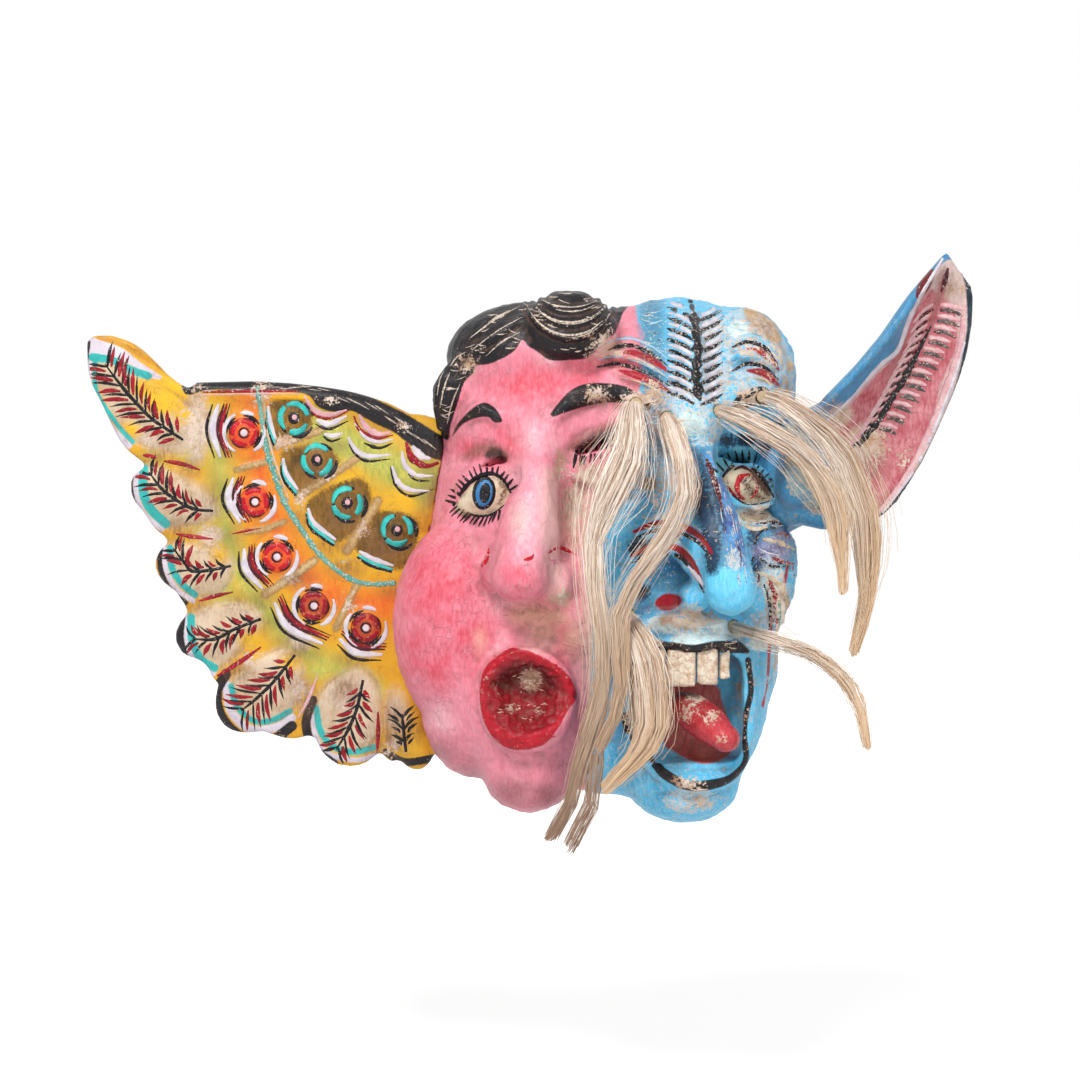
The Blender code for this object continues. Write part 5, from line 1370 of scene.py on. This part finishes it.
def paint_wing():
    for points, length in MIDRIBS:
        feather(points, length)
    for points, wide in (([(164, 461), (182, 464), (200, 470)], 2.6),
                         ([(176, 534), (195, 537), (213, 539)], 2.4),
                         ([(199, 601), (216, 596), (233, 592)], 2.4),
                         ([(217, 676), (240, 662), (261, 647)], 2.8),
                         ([(378, 712), (378, 735), (377, 755)], 2.4),
                         ([(143, 455), (150, 456), (157, 458)], 2.6),
                         ([(232, 534), (246, 531), (262, 528)], 1.4)):
        plumes.line("red", points, wide, (0.4, 0.3), 0.2, 0.22)
    plumes.line("pink", [(298, 718), (309, 698), (318, 674)], 2.2, (0.4, 0.3), 0.25, 0.22)
    plumes.line("red", [(203, 392), (250, 391), (299, 391)], 2.0, (0.6, 0.6), 0.25, 0.24)
    plumes.line("pink", [(201, 395), (250, 394), (300, 394)], 1.0, (0.6, 0.6), 0.25, 0.26)
    plumes.line("yellow", [(270, 398), (288, 398), (305, 399)], 2.4, (0.4, 0.5), 0.1, 0.26)
    plumes.line("sea_green", TEAL_ARC, 3.2, (0.8, 0.8), 0.32, 0.24, shake=0.3)
    plumes.line("cream", [(x + 4, y - 3) for x, y in TEAL_ARC[:5]], 1.6, (0.8, 0.6), 0.2, 0.2)
    for number in range(26):
        x = 190 + 9.6 * number
        y = float(np.interp(x, [184, 300, 356, 406, 450], [386, 384, 400, 426, 450])) + DICE.uniform(-6, 6)
        fall = float(np.interp(x, [300, 360, 450], [0.0, 4.0, 6.0]))
        plumes.line("ash", [(x - 7, y - fall), (x, y), (x + 7, y + fall)], DICE.uniform(0.5, 1.2),
                    (0.3, 0.2), 0.4, 0.16)
    for number, middle in enumerate(FLOWERS):
        flower(middle, 25 + 37 * number, number < 3)
    for points in CRESCENTS:
        lean = np.array(points[-1], float) - np.array(points[0])
        out = np.array((lean[1], -lean[0])) / np.linalg.norm(lean)
        for pot, shift, wide in (("black", -2.5, 2.0), ("white", 3.5, 4.2), ("maroon", 9.0, 2.4),
                                 ("red", 12.0, 2.6), ("black", 15.0, 1.3)):
            plumes.line(pot, [tuple(np.array(point) + out * shift) for point in points], wide, (0.35, 0.35),
                        0.15, 0.22)
    for number, middle in enumerate(ROUNDELS):
        roundel(middle, 10 + 30 * number)
    for points in ([(268, 406), (270, 422), (276, 440)], [(283, 458), (286, 473), (298, 490)],
                   [(308, 508), (314, 523), (336, 540)],
                   [(359, 551), (373, 559), (394, 566)]):
        plumes.line("black", [(x - 2, y + 6) for x, y in points], 2.6, (0.4, 0.5), 0.2, 0.2)
        plumes.line("teal", [(x - 1, y + 4) for x, y in points], 2.6, (0.4, 0.5), 0.2, 0.24)
        plumes.line("white", points, 2.9, (0.5, 0.5), 0.15, 0.32)
    scallops = (
        ("pink", [(304, 396), (314, 410), (329, 415), (347, 410)], 2.6),
        ("red", [(305, 404), (317, 416), (333, 418), (348, 411)], 1.5),
        ("white", [(316, 420), (329, 424), (347, 416)], 2.9),
        ("black", [(315, 424), (329, 429), (348, 421)], 1.5),
        ("white", [(324, 434), (333, 436), (343, 433)], 2.2),
        ("black", [(323, 436), (331, 441), (342, 438)], 1.4),
        ("pink", [(359, 415), (366, 427), (378, 434), (391, 432)], 2.9),
        ("red", [(354, 416), (360, 430), (376, 438), (393, 435)], 2.0),
        ("white", [(355, 423), (366, 437), (379, 442), (393, 439)], 2.3),
        ("black", [(364, 443), (379, 448), (393, 443)], 1.5),
        ("white", [(348, 437), (355, 449), (367, 456), (391, 455)], 2.5),
        ("black", [(349, 444), (355, 454), (367, 461), (390, 459)], 1.4),
        ("white", [(412, 446), (421, 456), (431, 459)], 3.3),
        ("red", [(406, 442), (412, 458), (426, 466), (443, 461)], 3.2),
        ("white", [(402, 451), (405, 465), (416, 475), (434, 476)], 2.5),
        ("black", [(408, 474), (416, 480), (430, 481)], 1.2),
        ("white", [(392, 466), (398, 482), (410, 490), (430, 491)], 2.5),
        ("black", [(390, 466), (396, 486), (411, 496), (434, 489)], 1.4),
    )
    for pot, points, wide in scallops:
        plumes.line(pot, points, 1.2 * wide, (0.4, 0.3), 0.18, 0.24, shake=0.25)


paint_wing()
plumes.dry()


# The ear
ear_piece = carved_copy("ear", "carved_ear", 1.0, 4)
ear = Surface(ear_piece)
LEFT_RIM = [(944, 256), (926, 287), (910, 318), (898, 350), (882, 364), (865, 383), (851, 399), (826, 422)]
MIDRIB = [(945, 277), (941, 289), (931, 326), (918, 352), (902, 383), (890, 401), (878, 422), (857, 446)]
RIGHT_RIM = [(962, 272), (969, 305), (966, 342), (957, 373), (946, 403), (936, 428), (919, 464), (899, 493),
             (878, 520)]
EAR_ROOT = 11.0                                 # how far the root reaches in behind the temple, in mm
EAR_LOBE = [-4.0, -2.0, 4.0, 6.5, 4.0, 0.0]     # how the lower edge runs up and away from the cheek, in mm
EAR_FLARE = 2.6                                 # how far the outer rim turns out, in mm
MIDRIB_AT = ([277, 326, 352, 383, 422, 446], [945, 931, 918, 902, 878, 857])


def dress_ear():
    outer = np.interp(ear.py, [260, 300, 420, 500], [948, 950, 905, 860])
    ear.points[:, 0] += EAR_FLARE * MM * np.clip((ear.px - outer) / 16.0, 0.0, 1.0)
    root = np.clip((ear.py - 402.0) / 16.0, 0.0, 1.0) * np.clip((838.0 - ear.px) / 26.0, 0.0, 1.0)
    ear.points[:, 0] -= EAR_ROOT * MM * root
    lower = np.clip((ear.py - 485.0) / 35.0, 0.0, 1.0)
    ear.points[:, 2] += MM * lower * np.interp(ear.px, [790, 804, 818, 832, 850, 872], EAR_LOBE)
    ear.place()
    ear.carve(MIDRIB, 1.6, -1.0)
    for number in range(12):
        y = 305 + 10.8 * number
        x = np.interp(y, *MIDRIB_AT)
        ear.carve([(x + 3, y + 1), (x + 12, y + 2), (x + 21, y + 6)], 1.5, 0.9)
    ear.place()
    ear.outline("inside", [(944, 262), (957, 261), (966, 272), (974, 287), (976, 305), (972, 342),
                           (964, 375), (952, 405), (941, 430), (924, 467), (904, 496), (880, 528),
                           (850, 534), (836, 490), (836, 450), (826, 422), (851, 399), (865, 383),
                           (882, 364), (898, 350), (910, 318), (926, 287)])
    ear.outline("field", [(936, 292), (952, 305), (957, 322), (957, 346), (947, 371), (940, 387),
                          (934, 418), (921, 446), (899, 485), (874, 512), (845, 500), (836, 450),
                          (846, 412), (860, 393), (876, 375), (893, 357), (907, 325), (928, 292)])
    ear.outline("blotch", [(846, 438), (862, 424), (876, 428), (880, 444), (868, 460), (850, 458)])
    ear.spots("blotch", [(842, 414, 6, 0.8)])
    ear.stroke("field", [(944, 276), (942, 290), (938, 306)], 2.0, ends=(0.4, 1.0))
    ear.stroke("rim_black", [(950, 252), (962, 264), (969, 284), (971, 305), (969, 330)], 2.2,
               ends=(0.3, 0.4))
    ear.stroke("rim_black", [(969, 330), (960, 376), (944, 420), (918, 470), (890, 508), (876, 524)], 1.0,
               ends=(1.0, 1.0))
    ear.stroke("rim_black", [(908, 486), (890, 508), (872, 530)], 2.4, ends=(0.3, 1.0))
    ear.outline("oval", arc((925, 284), (3.0, 8.5), 0, 360, -28)[:-1])
    ear.spots("chalk", [(800, 470, 8, 1.6), (818, 500, 7, 1.0), (792, 440, 6, 1.4), (836, 425, 5, 0.8)])
    np.minimum(ear.field("chalk"), 1.0, out=ear.field("chalk"))
    ear.spots("wear", [(872, 446, 8, 1.3), (838, 414, 6, 0.8), (860, 500, 4, 0.9), (905, 462, 4, 1.4),
                       (952, 290, 4, 2.0)])
    ear.spots("grime", [(868, 470, 8, 1.2), (820, 402, 6, 0.7), (905, 372, 6, 2.2), (945, 285, 5, 1.6),
                        (890, 500, 5, 0.8)])
    ear.field("raw")[:] = np.where(ear.normals[:, 1] > 0.75, 6.0, -6.0)
    ear.field("relief")[:] = ear.relief(7)
    ear.store()
    ear_piece.data.materials.append(painted_wood("painted_ear_wood", ("#3B86B6", "#5AA0C6"), [
        ("chalk", ("#CDBBA2", "#8FB4BC"), 1.0, 13.0),
        ("inside", ("#E8D2CD", "#DDB9B6"), 0.5, 1.2),
        ("field", ("#B03C49", "#DC9299"), 0.9, 3.4),
        ("blotch", ("#E2C8B2", "#D6AFA0"), 2.0, 9.0),
        ("oval", (DARK_RED, MAROON), 0.4, 0.8),
        ("rim_black", (BLACK, "#2E4A5A"), 0.4, 1.2),
        ("raw", (RAW_WOOD, DARK_WOOD), 1.0, 0.5),
    ]))
    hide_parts("ear")
    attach(ear_piece, "mask")


def paint_ear():
    listen.line("white", LEFT_RIM, 2.7, (0.6, 0.5), 0.06, 0.3)
    listen.line("pink", [(x - 5, y) for x, y in RIGHT_RIM[1:]], 4.4, (0.6, 0.5), 0.3, 0.2, shake=0.2)
    listen.line("white", [(x - 1, y) for x, y in RIGHT_RIM[2:]], 2.4, (0.5, 0.5), 0.15, 0.3)
    listen.line("black", MIDRIB[2:], 3.4, (0.2, 0.9), 0.22, 0.36, shake=0.3)
    listen.line("black", [(963, 262), (971, 285), (973, 312), (968, 350)], 1.8, (0.4, 0.2), 0.15, 0.2)
    listen.line("maroon", [(948, 268), (945, 281), (941, 292)], 2.6, (0.4, 0.3), 0.2, 0.3)
    for number in range(12):
        y = 305 + 10.8 * number
        x = float(np.interp(y, *MIDRIB_AT))
        reach = 26 - 0.5 * number
        listen.line("grey", [(x + 3, y + 5), (x + 0.55 * reach, y + 6), (x + reach, y + 11)], 2.4,
                    (0.7, 0.4), 0.3, 0.22, shake=0.3)
        listen.line("pink", [(x + 3, y), (x + 0.55 * reach, y + 1), (x + reach + 1, y + 5)], 2.8,
                    (0.7, 0.4), 0.28, 0.30, shake=0.3)
    for number in range(14):
        y = 304 + 10.2 * number
        x = float(np.interp(y, *MIDRIB_AT)) - 4
        listen.line("pink", [(x, y), (x - 10, y + 7), (x - 20, y + 19)], 2.4, (0.6, 0.3), 0.3, 0.26,
                    shake=0.3)
        listen.line("black" if number > 5 else "maroon", [(x, y + 5), (x - 9, y + 11), (x - 18, y + 23)],
                    2.0, (0.6, 0.3), 0.25, 0.24, shake=0.3)


dress_ear()
listen = Brush(ear, "ear", "mask", "painted_ear")
paint_ear()
listen.dry()


# Horsehair
def horsehair():
    """Coarse pale horsehair: dull cream strands of differing tone that go tan at the tips."""
    paint, tree = new_material("pale_horsehair")
    tone, along, smoke = [add(tree, "Attribute", attribute_name=name)["Fac"]
                          for name in ("tone", "along", "smoke")]
    colour = add(tree, "MixRGB", [tone, linear("#FFF3E6"), linear("#B98F68")])[0]
    tip = add(tree, "MapRange", [along, 0.35, 0.8, 0.0, 0.75])[0]
    colour = add(tree, "MixRGB", [tip, colour, linear("#EBC79C")])[0]
    colour = add(tree, "MixRGB", [smoke, colour, linear("#94705A")])[0]
    shader = add(tree, "BsdfPrincipled", {"Base Color": colour, "Roughness": 0.4, "Specular IOR Level": 0.5,
                                          "Sheen Weight": 0.4, "Sheen Roughness": 0.6,
                                          "Sheen Tint": linear("#FFEBD2")})
    add(tree, "OutputMaterial", {"Surface": shader[0]})
    return paint


HAIR = horsehair()
RINGS = 12                                      # rings of points along one strand
STRAND = 0.17                                   # half thickness of a strand in mm
THICKNESSES, STRAY_THICKNESS = (0.7, 1.2), 0.6  # shares of it that strands and stray strands have
LOCKS = 13                                      # locks that one tuft parts into
LOCK_SWAY = 2.2                                 # how far a lock strays sideways, in mm
LOOSE_SWAY, SLACK_SWAY, NEAT_SWAY = 7.5, 3.0, 0.7   # how far strands wander, in mm
SLACK = 3.2                                     # strands that are slack or loose, for each loose one
SHORT_SHARE = 0.14                              # share of the strands that end early
SHORT = (0.45, 0.9)                             # the parts of the route that those run
LOCK_TONES, STRAND_TONES = 0.16, 0.42           # how much locks and strands differ in tone
SPREAD = ((0.0, 0.3, 0.75, 1.0), (0.30, 0.24, 0.09, 0.05))      # how loose a lock is along the route
UNEVEN = 0.02                                   # share of the route by which the ends differ
GATHER_FROM, GATHER_OVER, GATHER_CURVE = 0.66, 0.18, 1.4        # where on the route the clumps gather
FANNED, GATHERED = 0.9, 0.35                    # how wide the locks spread, and how much less in a clump
FLATNESS = 0.14                                 # depth of a tuft over its width
SMOKE_FROM, SMOKE_OVER = 0.42, 0.5              # where on the route the smoky tone grows
NOISE_SPAN = 40.0                               # the noise that strands and locks start in
STRAND_WAVES, LOCK_WAVES = (0.0, 3.2, 4.0), (5.0, 2.4, 3.0)     # row of noise, waves, how fast they set in
LOOK_AHEAD = 0.02                               # share of the route over which its direction is taken
ROUTE_STEP = 0.002
CLEARANCE = 1.2                                 # mm that strands keep off the faces


def in_front(px, py, y):
    """A place in metres at a pixel and a distance in mm from the wall."""
    depth = y * MM - CAMERA_PLACE.y
    return np.array((CAMERA_PLACE.x + (px - PHOTO / 2) / FOCUS * depth, y * MM,
                     CAMERA_PLACE.z + (PHOTO / 2 - py) / FOCUS * depth))


def strand_drift(start, row, waves, onset, t):
    """How a strand wanders along its length, growing from nothing at the root."""
    way = np.array([noise.noise_vector(Vector((start, share * waves, row))) for share in t])
    return way * np.minimum(1.0, t * onset)[:, None]


def tuft(name, node, body, route, count, clumps, loose=0.16, tone=0.24, smoke=0.0):
    """Strands along a route of (px, py, mm from the wall, width in mm). Their ends gather into clumps, given
    as shifts in mm sideways with the share of the tuft that each takes."""
    places = np.array([in_front(px, py, y) for px, py, y, _ in route])
    steps = np.r_[0.0, np.cumsum(np.linalg.norm(np.diff(places, axis=0), axis=1))]
    fine = smooth_line(places, ROUTE_STEP)
    fine_steps = np.r_[0.0, np.cumsum(np.linalg.norm(np.diff(fine, axis=0), axis=1))]

    def at(share):
        reach = share * fine_steps[-1]
        return np.stack([np.interp(reach, fine_steps, fine[:, axis]) for axis in range(3)], 1)

    def sides(ways):
        ways = ways / np.linalg.norm(ways, axis=1)[:, None]
        side = np.cross(ways, (0.0, -1.0, 0.0))
        side /= np.maximum(np.linalg.norm(side, axis=1), 1e-6)[:, None]
        return side, np.cross(side, ways)

    points, faces, tones, shares, smokes = [], [], [], [], []
    locks = []
    for number in range(LOCKS):
        lateral = -1.0 + 2.0 * (number + DICE.random()) / LOCKS
        deep = DICE.uniform(-1.0, 1.0)
        beat = DICE.uniform(0.0, NOISE_SPAN)
        shade = DICE.gauss(tone, LOCK_TONES)
        clump, _ = DICE.choices(clumps, [share for _, share in clumps])[0]
        locks.append((lateral, deep, beat, shade, clump))
    for _ in range(count):
        lateral, deep, beat, shade, clump = DICE.choice(locks)
        off, deeper = DICE.gauss(0.0, 1.0), DICE.gauss(0.0, 1.0)
        roll = DICE.random()
        stray, slack = roll < loose, roll < SLACK * loose
        short = DICE.random() < SHORT_SHARE
        if stray or short:
            length = DICE.uniform(*SHORT)
        else:
            length = 1.0 - UNEVEN * lateral * lateral - UNEVEN * DICE.random() ** 2
        wander = (LOOSE_SWAY if stray else SLACK_SWAY if slack else NEAT_SWAY) * MM
        phase = DICE.uniform(0.0, NOISE_SPAN)
        thick = STRAND * DICE.uniform(*THICKNESSES) * (STRAY_THICKNESS if stray else 1.0)
        shade = min(1.0, max(0.0, DICE.gauss(shade, STRAND_TONES)))
        t = length * np.linspace(0.0, 1.0, RINGS)
        side, front = sides(at(np.minimum(1.0, t + LOOK_AHEAD)) - at(np.maximum(0.0, t - LOOK_AHEAD)))
        width = np.interp(t * steps[-1], steps, [width for *_, width in route]) * MM * (2.0 if stray else 1.0)
        gather = np.clip((t - GATHER_FROM) / GATHER_OVER, 0.0, 1.0) ** GATHER_CURVE
        sway = strand_drift(phase, *STRAND_WAVES, t)
        swing = strand_drift(beat, *LOCK_WAVES, t)
        drawn = np.interp(t, *SPREAD)
        shift = ((lateral * (FANNED - GATHERED * gather) + off * drawn) * width / 2 + clump * MM * gather
                 + sway[:, 0] * wander + swing[:, 0] * LOCK_SWAY * MM)
        rise = ((deep + deeper * drawn) * (FLATNESS * width + MM * np.minimum(1.0, t * 6))
                + sway[:, 1] * wander * 0.5)
        line = clear_of_faces(at(t) + side * shift[:, None] + front * rise[:, None])
        side, front = sides(np.gradient(line, axis=0))
        half = thick * MM * (1.0 - 0.2 * np.linspace(0.0, 1.0, RINGS) ** 4)[:, None]
        base = len(points)
        roll = DICE.gauss(0.0, 0.25)
        corners = [line + (side * math.cos(angle + roll) + front * math.sin(angle + roll)) * half * share
                   for angle, share in ((0.3, 1.0), (math.pi - 0.3, 1.0), (1.5 * math.pi, 0.6))]
        points += [tuple(corner[ring]) for ring in range(RINGS) for corner in corners]
        tones += [shade] * (3 * RINGS)
        shares += [float(share) for share in t for _ in range(3)]
        smoked = smoke * np.clip((t - SMOKE_FROM) / SMOKE_OVER, 0.0, 1.0)
        smokes += [float(share) for share in smoked for _ in range(3)]
        for ring in range(RINGS - 1):
            for corner in range(3):
                a = base + ring * 3 + corner
                b = base + ring * 3 + (corner + 1) % 3
                faces.append((a, b, b + 3, a + 3))
        last = base + (RINGS - 1) * 3
        faces.append((base + 2, base + 1, base))
        faces.append((last, last + 1, last + 2))
    obj = new_object(name, points, faces)
    turn_outward(obj)
    for key, values in (("tone", tones), ("along", shares), ("smoke", smokes)):
        obj.data.attributes.new(key, "FLOAT", "POINT").data.foreach_set("value", values)
    obj.data.materials.append(HAIR)
    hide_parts(node)
    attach(obj, body)


def clear_of_faces(line):
    """Lifts the points of a strand off the carved faces where they would sink into them."""
    kept = []
    for number, spot in enumerate(line):
        start = Vector((spot[0], -0.3, spot[2]))
        hit, _, _, _ = shell.net.ray_cast(start, Vector((0.0, 1.0, 0.0)))
        if number > 1 and hit is not None and spot[1] > hit.y - CLEARANCE * MM:
            spot = np.array((spot[0], hit.y - CLEARANCE * MM, spot[2]))
        kept.append(spot)
    return np.array(kept)


tuft("brow_horsehair_1", "brow_tuft_1", "brow_hair_1",
     [(633, 402, -76, 4.5), (632, 415, -90, 8), (632, 440, -102, 11), (625, 465, -105, 15),
      (614, 490, -106, 16), (600, 515, -105, 11), (594, 540, -104, 7.5), (594, 565, -103, 7),
      (596, 590, -102, 7), (600, 615, -102, 7), (604, 652, -102, 7.5), (602, 690, -101, 8),
      (592, 730, -100, 9), (589, 756, -98, 9), (584, 782, -95, 9), (579, 808, -92, 9.5),
      (570, 828, -90, 10), (555, 848, -88, 10)], 310,
     [(5.5, 0.5), (-5.5, 0.5)], loose=0.24, smoke=0.9)
tuft("brow_horsehair_2", "brow_tuft_2", "brow_hair_2",
     [(667, 416, -91, 4.5), (672, 427, -103, 7.5), (678, 440, -110, 8), (683, 465, -114, 8),
      (685, 490, -116, 8.5), (678, 515, -116, 7.5), (664, 540, -114, 8), (646, 565, -112, 7.5),
      (630, 590, -110, 6.5), (620, 615, -109, 6.5), (620, 652, -107, 8), (621, 690, -106, 7.5),
      (612, 722, -104, 8), (598, 752, -101, 8)], 200, [(0.0, 1.0)], loose=0.3, smoke=0.5)
tuft("brow_horsehair_3", "brow_tuft_3", "brow_hair_3",
     [(720, 410, -85, 4.5), (739, 417, -99, 6.5), (768, 432, -104, 8.5), (797, 451, -103, 10),
      (820, 478, -100, 12), (835, 510, -95, 12), (839, 540, -92, 11), (842, 568, -89, 7.5),
      (843, 595, -88, 5)], 240, [(0.0, 1.0)], tone=0.26)
tuft("brow_horsehair_4", "brow_tuft_4", "brow_hair_4",
     [(766, 396, -72, 4.5), (782, 402, -85, 6), (798, 413, -87, 8), (823, 435, -85, 10),
      (841, 458, -83, 13), (851, 482, -80, 15), (863, 511, -77, 15), (866, 540, -74, 15),
      (867, 569, -72, 14), (867, 598, -70, 10.5), (861, 627, -69, 9), (853, 657, -67, 6)], 300,
     [(0.0, 1.0)], tone=0.34)
tuft("moustache_horsehair_left", "moustache_tuft_left", "moustache_hair_left",
     [(628, 615, -77, 4.5), (632, 626, -98, 8), (645, 652, -105, 12), (651, 678, -108, 15),
      (653, 704, -108, 15.5), (652, 728, -108, 14), (640, 752, -106, 13), (618, 776, -102, 13),
      (602, 793, -98, 8)], 240, [(0.0, 1.0)], tone=0.22)
tuft("moustache_horsehair_right", "moustache_tuft_right", "moustache_hair_right",
     [(734, 626, -77, 4.5), (753, 632, -93, 5.5), (782, 642, -98, 6), (812, 653, -95, 6.5),
      (840, 674, -90, 7), (859, 704, -85, 7.5), (868, 750, -82, 6)], 150, [(0.0, 1.0)], tone=0.36)


# Teeth and tongue
TOOTH_STAIN, TOOTH_DRIFT, TOOTH_CRACK = 3.5, 4.0, 5.0       # widths in mm
TOOTH_BEND = (0.006, 0.006, 0.006)              # how far the cracks wander, in metres
TOOTH_BEVEL, TOOTH_SHAKE = 1.9, 0.8             # how round and how uneven the edges are, in mm
TOOTH_GRAIN = 300.0                             # bumps in a metre


def tooth_enamel():
    """Old cream paint on wooden teeth: chalky, cracked and stained tan."""
    paint, tree = new_material("stained_cream_teeth")
    place = add(tree, "TexCoord")["Object"]
    (stain, _), (_, drift) = [
        add(tree, "TexNoise", {"Vector": place, "Scale": 1.0 / (width * MM), "Detail": detail,
                               "Roughness": harsh})
        for width, detail, harsh in ((TOOTH_STAIN, 5.0, 0.7), (TOOTH_DRIFT, 3.0, 0.5))]
    bent = add(tree, "VectorMath", [drift, TOOTH_BEND, place], operation="MULTIPLY_ADD")[0]
    cells = add(tree, "TexVoronoi", {"Vector": bent, "Scale": 1.0 / (TOOTH_CRACK * MM)},
                feature="DISTANCE_TO_EDGE")
    cracks = add(tree, "MapRange", [cells["Distance"], 0.0, 0.05, 0.6, 0.0])[0]
    stain = add(tree, "MapRange", [stain, 0.42, 0.70])[0]
    colour = add(tree, "MixRGB", [stain, linear("#EFE0CB"), linear("#B98A62")])[0]
    colour = add(tree, "MixRGB", [cracks, colour, linear("#94684E")])[0]
    bump = add(tree, "Bump", {"Height": stain, "Strength": 0.4, "Distance": 0.3 * MM})[0]
    shader = add(tree, "BsdfPrincipled", {"Base Color": colour, "Roughness": 0.5, "Normal": bump})[0]
    add(tree, "OutputMaterial", {"Surface": shader})
    return paint


ENAMEL = tooth_enamel()


def make_tooth(node):
    """A whittled tooth: a box with rounded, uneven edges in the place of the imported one."""
    low, high = [Vector(corner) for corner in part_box(node)]
    bpy.ops.object.select_all(action="DESELECT")
    bpy.ops.mesh.primitive_cube_add(size=1.0)
    obj = bpy.context.object
    obj.name = "whittled_" + node
    bpy.ops.object.mode_set(mode="EDIT")
    bpy.ops.mesh.select_all(action="SELECT")
    bpy.ops.transform.resize(value=high - low)
    bpy.ops.transform.translate(value=(low + high) / 2)
    bpy.ops.mesh.bevel(offset=TOOTH_BEVEL * MM, segments=4, affect="EDGES")
    bpy.ops.mesh.subdivide(number_cuts=2)
    bpy.ops.object.mode_set(mode="OBJECT")
    for vertex in obj.data.vertices:
        shake = noise.noise_vector(vertex.co * TOOTH_GRAIN)
        inside = vertex.co + shake * (TOOTH_SHAKE * MM)
        vertex.co = [min(max(value, a), b) for value, a, b in zip(inside, low, high)]
    bpy.ops.object.shade_smooth()
    obj.data.materials.append(ENAMEL)
    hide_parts(node)
    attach(obj, "mask")


for number in range(1, 7):
    make_tooth(f"tooth_{number}")

tongue_piece = carved_copy("tongue", "carved_tongue", 0.8, 4)
tongue = Surface(tongue_piece)
tongue.carve([(690, 690), (704, 710), (720, 734)], 1.6, -0.8)
tongue.place()
tongue.spots("tip", [(720, 736, 8.0, 1.0)])
tongue.spots("wear", [(696, 696, 6, 1.2), (710, 716, 4, 0.9), (722, 738, 2, 0.8), (688, 714, 4, 1.0)])
tongue.spots("grime", [(690, 690, 7, 1.0)])
tongue.field("relief")[:] = tongue.relief(6)
tongue.store()
tongue_piece.data.materials.append(painted_wood("painted_tongue_wood", ("#A8242B", "#C4474A"), [
    ("tip", ("#C42A34", "#D6505A"), 5.0, 6.0),
], rough=0.26))
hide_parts("tongue")
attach(tongue_piece, "mask")


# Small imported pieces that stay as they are
def plain(name, first, second, grain, rough, metallic=0.0):
    """A dull material mottled in two tones, with the width of its grain in mm."""
    paint, tree = new_material(name)
    place = add(tree, "TexCoord")["Object"]
    spots = add(tree, "TexNoise", {"Vector": place, "Scale": 1.0 / (grain * MM), "Detail": 4.0})[0]
    colour = add(tree, "MixRGB", [spots, linear(first), linear(second)])[0]
    bump = add(tree, "Bump", {"Height": spots, "Strength": 0.5, "Distance": 0.2 * MM})[0]
    shader = add(tree, "BsdfPrincipled", {"Base Color": colour, "Roughness": rough, "Metallic": metallic,
                                          "Normal": bump})[0]
    add(tree, "OutputMaterial", {"Surface": shader})
    return paint


THREAD = plain("waxed_thread", "#DCC9AC", "#A98A62", 0.6, 0.7)      # dull tan thread wound round the hair
IRON = plain("rusty_iron", "#4A4543", "#6B4630", 1.5, 0.6, 0.7)     # dark nail heads with rust
for node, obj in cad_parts.items():
    if "binding" in node or "nail" in node:
        obj.data.materials.clear()
        obj.data.materials.append(THREAD if "binding" in node else IRON)
